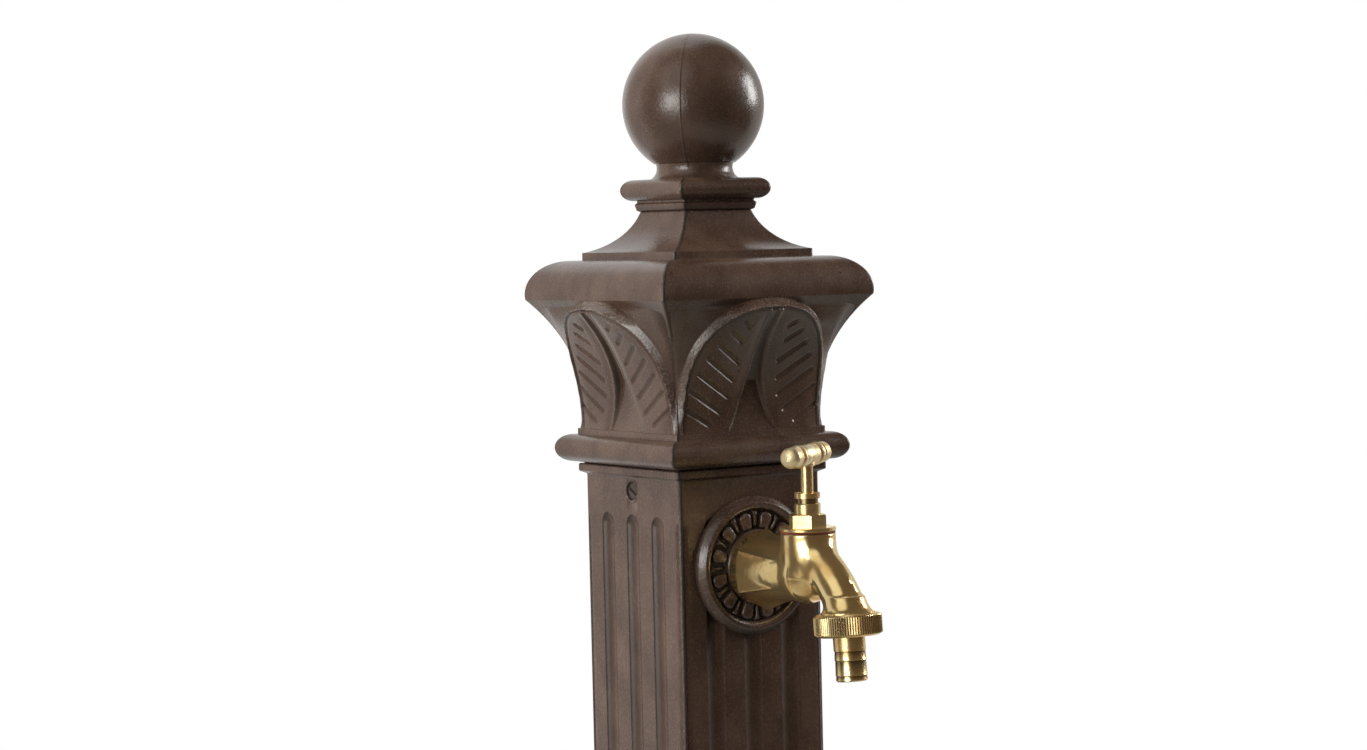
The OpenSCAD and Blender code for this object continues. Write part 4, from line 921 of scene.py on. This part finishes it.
# Bonnet: turned from hexagon bar, with a round flange on a red fibre washer, a spanner
# hexagon with chamfered corners and a neck that takes the gland nut. It screws into the
# barrel. The gland nut has a slot across it and presses the packing round the spindle.
washer_in_r, washer_r, washer_h = 9.7, 13.1, 0.7
bonnet_foot = tap_z + barrel_top + washer_h
neck_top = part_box("bonnet")[1].z / MM
flange_r, flange_h, hex_af, hex_h, hex_turn, bonnet_neck_r = 13.4, 2.0, 16, 5.9, 5, 6.3
under_r, under_h = 5.2, 2.4
hex_top, neck_end = flange_h + hex_h, neck_top - under_h - bonnet_foot
angles = full_turn(144)
hex_radius = hex_af / 2 / np.cos((angles - math.radians(hex_turn)) % (math.pi / 3) - math.pi / 6)
bonnet_rings, bonnet_grime = [], []
for limit, z in [
    (0, 0), (flange_r - 0.5, 0), (flange_r, 0.5), (flange_r, flange_h - 0.5), (flange_r - 0.5, flange_h),
    (10.2, flange_h), (9.3, flange_h + 0.3), (9.3, hex_top - 0.3), (8.7, hex_top - 0.05), (8.4, hex_top),
    (bonnet_neck_r + 0.4, hex_top), (bonnet_neck_r, hex_top + 0.4), (bonnet_neck_r, neck_end - 0.4),
    (bonnet_neck_r - 0.4, neck_end), (under_r, neck_end), (under_r, neck_end + under_h),
    (0, neck_end + under_h),
]:
    radius = np.minimum(limit, hex_radius) if flange_h < z < hex_top else limit
    bonnet_rings.append(ring_at(radius, z, angles))
    bonnet_grime.append(np.full_like(angles, 0.8 * (limit == under_r)))
bonnet = skin("bonnet", bonnet_rings, 25, grime=bonnet_grime)
set_at(bonnet, 0, spindle_y, bonnet_foot)
fit(bonnet, turned_brass, "turned_brass", "column", "bonnet")
washer_profile = [(washer_in_r, -washer_h), (washer_r, -washer_h), (washer_r, 0), (washer_in_r, 0)]
washer = turned("bonnet_washer", washer_profile + washer_profile[:1], 96)
set_at(washer, 0, spindle_y, bonnet_foot)
fit(washer, fibre, "fibre", "column", "bonnet_washer")
dress(turned_brass, "gland_nut")
dress(fibre, "gland_packing")

# Valve: a brass jumper with a rubber washer and a nut inside the barrel, lifted by the spindle.
# They are plain turned pieces that only show when the tap is taken apart.
rubber = washer_stuff("black_rubber", 2.5, 0.4, 0.7, srgb(28, 28, 28), srgb(52, 51, 50), 0.6, 0.05)
dress(rubber, "valve_washer")
dress(plumbing_brass, "valve_jumper", "valve_nut")

# Spindle and tee handle: a turned brass stem that rises as it turns, with a cross bar pressed
# on its top. Each half of the bar has a domed knob, a groove, a bead and a waist.
dress(turned_brass, "spindle")
handle_z, handle_half, handle_angle, knob_r, knob_h = 796.1, 23.5, 32.7, 5.0, 3.2
knob_turns = np.radians(np.linspace(25, 90, 9))
half_bar = [
    (0, handle_half), (0.8, handle_half - 0.25), (1.1, handle_half + 0.02), (1.5, handle_half - 0.05),
    *((knob_r * math.sin(t), handle_half - knob_h * (1 - math.cos(t))) for t in knob_turns),
    (5.0, 15.4), (4.85, 14.9), (3.9, 14.6), (3.8, 13.9), (3.9, 13.4), (4.9, 13.1), (5.35, 12.4), (5.45, 11.5),
    (5.35, 10.4), (4.9, 9.6), (4.2, 9.2), *hollow((4.2, 9.2), (4.9, 3.2), 9)[1:], (5.1, 2.6), (5.1, 0),
]
bar_profile = half_bar + [(r, -h) for r, h in half_bar[-2::-1]]
handle = turned("tee_handle", softened(bar_profile, 0.25), 72, 40)
set_at(handle, 0, spindle_y, handle_z, (handle_angle, "Z"), (90, "Y"))
boss = turned("handle_boss", [(0, -5.2), (3.6, -5.2), (4.1, -4.8), (4.1, -3), (3.0, 0), (0, 0)], 48)
set_at(boss, 0, spindle_y, handle_z)
satin_brass = lathe_metal("satin_brass", srgb(247, 234, 192), srgb(228, 203, 154), 0.36, (0.3, 0.3, 0.3))
fit(handle, satin_brass, "turned_brass", "spindle", "tee_handle")
fit(boss, satin_brass, "turned_brass", "spindle")

# Hose union: a knurled brass nut that draws a barbed hose tail and a rubber washer up to the
# outlet. Nut and tail are turned brass. The nut carries the tail on a floor round its hole.
union_r, union_h, union_floor, knurl_count, knurl_h = 16, 10.5, 8.7, 84, 0.34
tail_r, tail_root_r, tail_bore_r, tail_foot = 7.55, 7.2, 5.5, 31.5
union_bore_r, union_hole_r, tail_flange_r, tail_top = 13.2, 7.9, 12.9, 7.2
core = union_r - knurl_h
nut_profile = [
    (union_hole_r, -union_h), (core - 1.2, -union_h), (core - 0.5, -union_h + 0.5), (core, -union_h + 0.9),
    (core, -0.9), (core - 0.5, -0.5), (core - 1.2, 0), (union_bore_r, 0), (union_bore_r, -union_floor),
    (union_hole_r, -union_floor), (union_hole_r, -union_h),
]
nut = turned("union_nut", nut_profile, 168)
half_tooth = math.pi * core / knurl_count * 0.96
tooth_side = [(core - 0.2, half_tooth), (core + 0.05, half_tooth)]
tooth_plan = [(r, -t) for r, t in tooth_side] + [(union_r, 0)] + tooth_side[::-1]
tooth_levels = [(-union_h + 0.8, 0.05), (-union_h + 1.3, knurl_h), (-1.3, knurl_h), (-0.8, 0.05)]
tooth_rings = [[(core - 0.1, 0, -union_h + 0.75)] * len(tooth_plan)]
tooth_rings += [[(min(r, core + lift), t, z) for r, t in tooth_plan] for z, lift in tooth_levels]
tooth_rings += [[(core - 0.1, 0, -0.75)] * len(tooth_plan)]
tooth_grime = np.tile([1, 0.8, 0, 0.8, 1], (len(tooth_rings), 1))
tooth = skin("tooth_pattern", tooth_rings, 20, grime=tooth_grime)
knurl = ring_of("union_knurl", tooth, knurl_count, 0.0, turned_brass)
below = -tail_foot + 0.3
tail_profile = [(tail_bore_r, -tail_foot), (tail_root_r - 0.4, -tail_foot), (tail_root_r - 0.1, below)]
for barb_z in (-28.9, -21.8, -17.5):
    tail_profile += [(tail_r - 0.1, below + 0.3), (tail_root_r, barb_z - 0.15), (tail_root_r, barb_z)]
    below = barb_z + 0.3
    tail_profile += [(tail_r, below)]
tail_profile += [(tail_r, -union_floor), (tail_flange_r, -union_floor), (tail_flange_r, -tail_top)]
tail_profile += [(tail_bore_r, -tail_top), (tail_bore_r, -tail_foot)]
tail_grime = [0.9 if abs(r - tail_root_r) < 0.01 else 0.0 for r, z in tail_profile]
tail = turned("hose_tail", tail_profile, 96, 30, grime=tail_grime)
for piece in (nut, knurl, tail):
    at_outlet(piece)
fit(nut, turned_brass, "turned_brass", "union_nut", "union_nut")
fit(knurl, turned_brass, "turned_brass", "union_nut")
fit(tail, turned_brass, "turned_brass", "hose_tail", "hose_tail")
dress(rubber, "union_washer")

# Stage: a pale floor in a white surround, broad lamps that only light, two soft boxes that are
# mirrored too, and walls that only mirror images show: dark round the camera, pale behind the
# column, bright at the left. The camera stands at the left front, level with the capital.
ground = Finish(bpy.data.materials.new("pale_floor"))
spot = ground.node("ShaderNodeTexCoord", out="Object")
far = ground.node("ShaderNodeVectorMath", {"operation": "LENGTH"}, {0: spot}, "Value")
fade = ground.band(far, 0.6, 1.7)
speck = ground.noise(4, 3)
matt = ground.node("ShaderNodeBsdfPrincipled", {}, {
    "Base Color": ground.mix(speck, (0.78, 0.78, 0.77, 1), (0.83, 0.83, 0.82, 1)), "Roughness": 0.8})
glow = ground.node("ShaderNodeEmission", {}, {"Color": (1, 1, 1, 1), "Strength": 1.0})
lit = ground.node("ShaderNodeMixShader", {}, {0: fade, 1: matt, 2: glow})
ground.node("ShaderNodeOutputMaterial", {}, {"Surface": lit})
floor = turned("floor", [(0, -0.5), (3600, -0.5), (3600, -3), (0, -3)], 96)
floor.data.materials.append(ground.owner)
floor.visible_diffuse = floor.visible_glossy = False

sky = Finish(bpy.data.worlds.new("studio"))
seen = 0.0
for ray in ("Is Camera Ray", "Is Glossy Ray", "Is Transmission Ray"):
    seen = seen + sky.node("ShaderNodeLightPath", out=ray)
share = sky.node("ShaderNodeClamp", {}, {0: seen})
dim = sky.node("ShaderNodeBackground", {}, {"Color": (1, 1, 1, 1), "Strength": 0.03})
white = sky.node("ShaderNodeBackground", {}, {"Color": (1, 1, 1, 1), "Strength": 1.0})
backdrop = sky.node("ShaderNodeMixShader", {}, {0: share, 1: dim, 2: white})
sky.node("ShaderNodeOutputWorld", {}, {"Surface": backdrop})
bpy.context.scene.world = sky.owner


def soft_box(name, direction, distance, width, height, power):
    """A flat lamp that looks at the column's top from a direction."""
    lamp = bpy.data.lights.new(name, "AREA")
    lamp.shape, lamp.size, lamp.size_y, lamp.energy = "RECTANGLE", width, height, power
    box = bpy.data.objects.new(name, lamp)
    aim = Vector((0, 0, 0.8))
    way = Vector(direction).normalized()
    turn = way.to_track_quat("Z", "Y").to_matrix().to_4x4()
    box.matrix_world = Matrix.Translation(aim + way * distance) @ turn
    bpy.context.collection.objects.link(box)
    return box


for name, direction, width, height, power in (
    ("left_wall", (-0.8, 0.55, 0.35), 1.6, 2.4, 54), ("left_floor", (-0.8, 0.45, -0.28), 2.0, 0.6, 48),
    ("right_wall", (0.8, -0.4, 0.45), 1.6, 1.6, 40), ("front_wash", (-0.62, -0.5, 0.6), 1.0, 1.0, 4),
    ("top_wash", (-0.4, 0.1, 0.9), 0.9, 0.9, 24),
):
    soft_box(name, direction, 2.4, width, height, power).visible_glossy = False
soft_box("key_box", (-0.93, -0.36, 0.15), 2.2, 1.1, 0.9, 18)
soft_box("right_box", (0.95, -0.2, 0.3), 2.4, 0.8, 1.0, 24)

studio = Finish(bpy.data.materials.new("studio_walls"))
spot = studio.node("ShaderNodeTexCoord", out="Object")
east, north, high = (studio.node("ShaderNodeSeparateXYZ", {}, {0: spot}, axis) for axis in "XYZ")
overhead = studio.band(high, 1.8, 3.0) * studio.band(east - north * 0.7, 0, 1.5)
facing = east * -0.39 + north * -0.94 + overhead * 1.5
wall_tone = studio.mix(studio.noise(300, 2), (0.075, 0.05, 0.034, 1), (0.105, 0.072, 0.05, 1))
wall_tone = studio.mix(studio.band(0.8 - high, 0.9, 1.7), wall_tone, (0.42, 0.38, 0.33, 1))
wall_tone = studio.mix(studio.band(facing, -0.95, -0.25), (0.62, 0.6, 0.58, 1), wall_tone)
left_glow = studio.band(east * -0.945 + north * -0.326, 2.5, 2.87)
wall_tone = studio.mix(left_glow, wall_tone, (1.1, 1.04, 0.92, 1))
raised_glow = studio.band(east * -0.7 + north * -0.21 + high * 0.68, 3.0, 3.35)
wall_tone = studio.mix(raised_glow, wall_tone, (0.9, 0.86, 0.78, 1))
shine = studio.node("ShaderNodeEmission", {}, {"Color": wall_tone})
studio.node("ShaderNodeOutputMaterial", {}, {"Surface": shine})
wall_reach, wall_thick, wall_middle = 2900, 10, 800
span = np.radians(np.linspace(96, 400, 60))
wall_rings = []
for tilt in np.radians(np.linspace(-80, 78, 32)):
    wall_rings.append(np.concatenate([
        ring_at(reach * math.cos(tilt), wall_middle + reach * math.sin(tilt), way)
        for reach, way in ((wall_reach, span), (wall_reach - wall_thick, span[::-1]))
    ]))
walls = skin("studio_walls", wall_rings)
walls.data.materials.append(studio.owner)
walls.visible_camera = walls.visible_diffuse = walls.visible_shadow = walls.visible_transmission = False

lens = bpy.data.cameras.new("camera")
lens.sensor_width, lens.sensor_fit, lens.lens = 36, "HORIZONTAL", 81.19
camera = bpy.data.objects.new("camera", lens)
stand = Vector((-860.245, -1258.303, 902.606)) * MM
camera_right = (0.82758532, -0.56086168, -0.02316728)
camera_up = (0.04517638, 0.02540943, 0.99865582)
camera_back = (-0.55951911, -0.82751951, 0.04636617)
camera_axes = Matrix((camera_right, camera_up, camera_back)).transposed().to_4x4()
camera.matrix_world = Matrix.Translation(stand) @ camera_axes
bpy.context.collection.objects.link(camera)
bpy.context.scene.camera = camera
bpy.context.scene.view_settings.view_transform = "Standard"
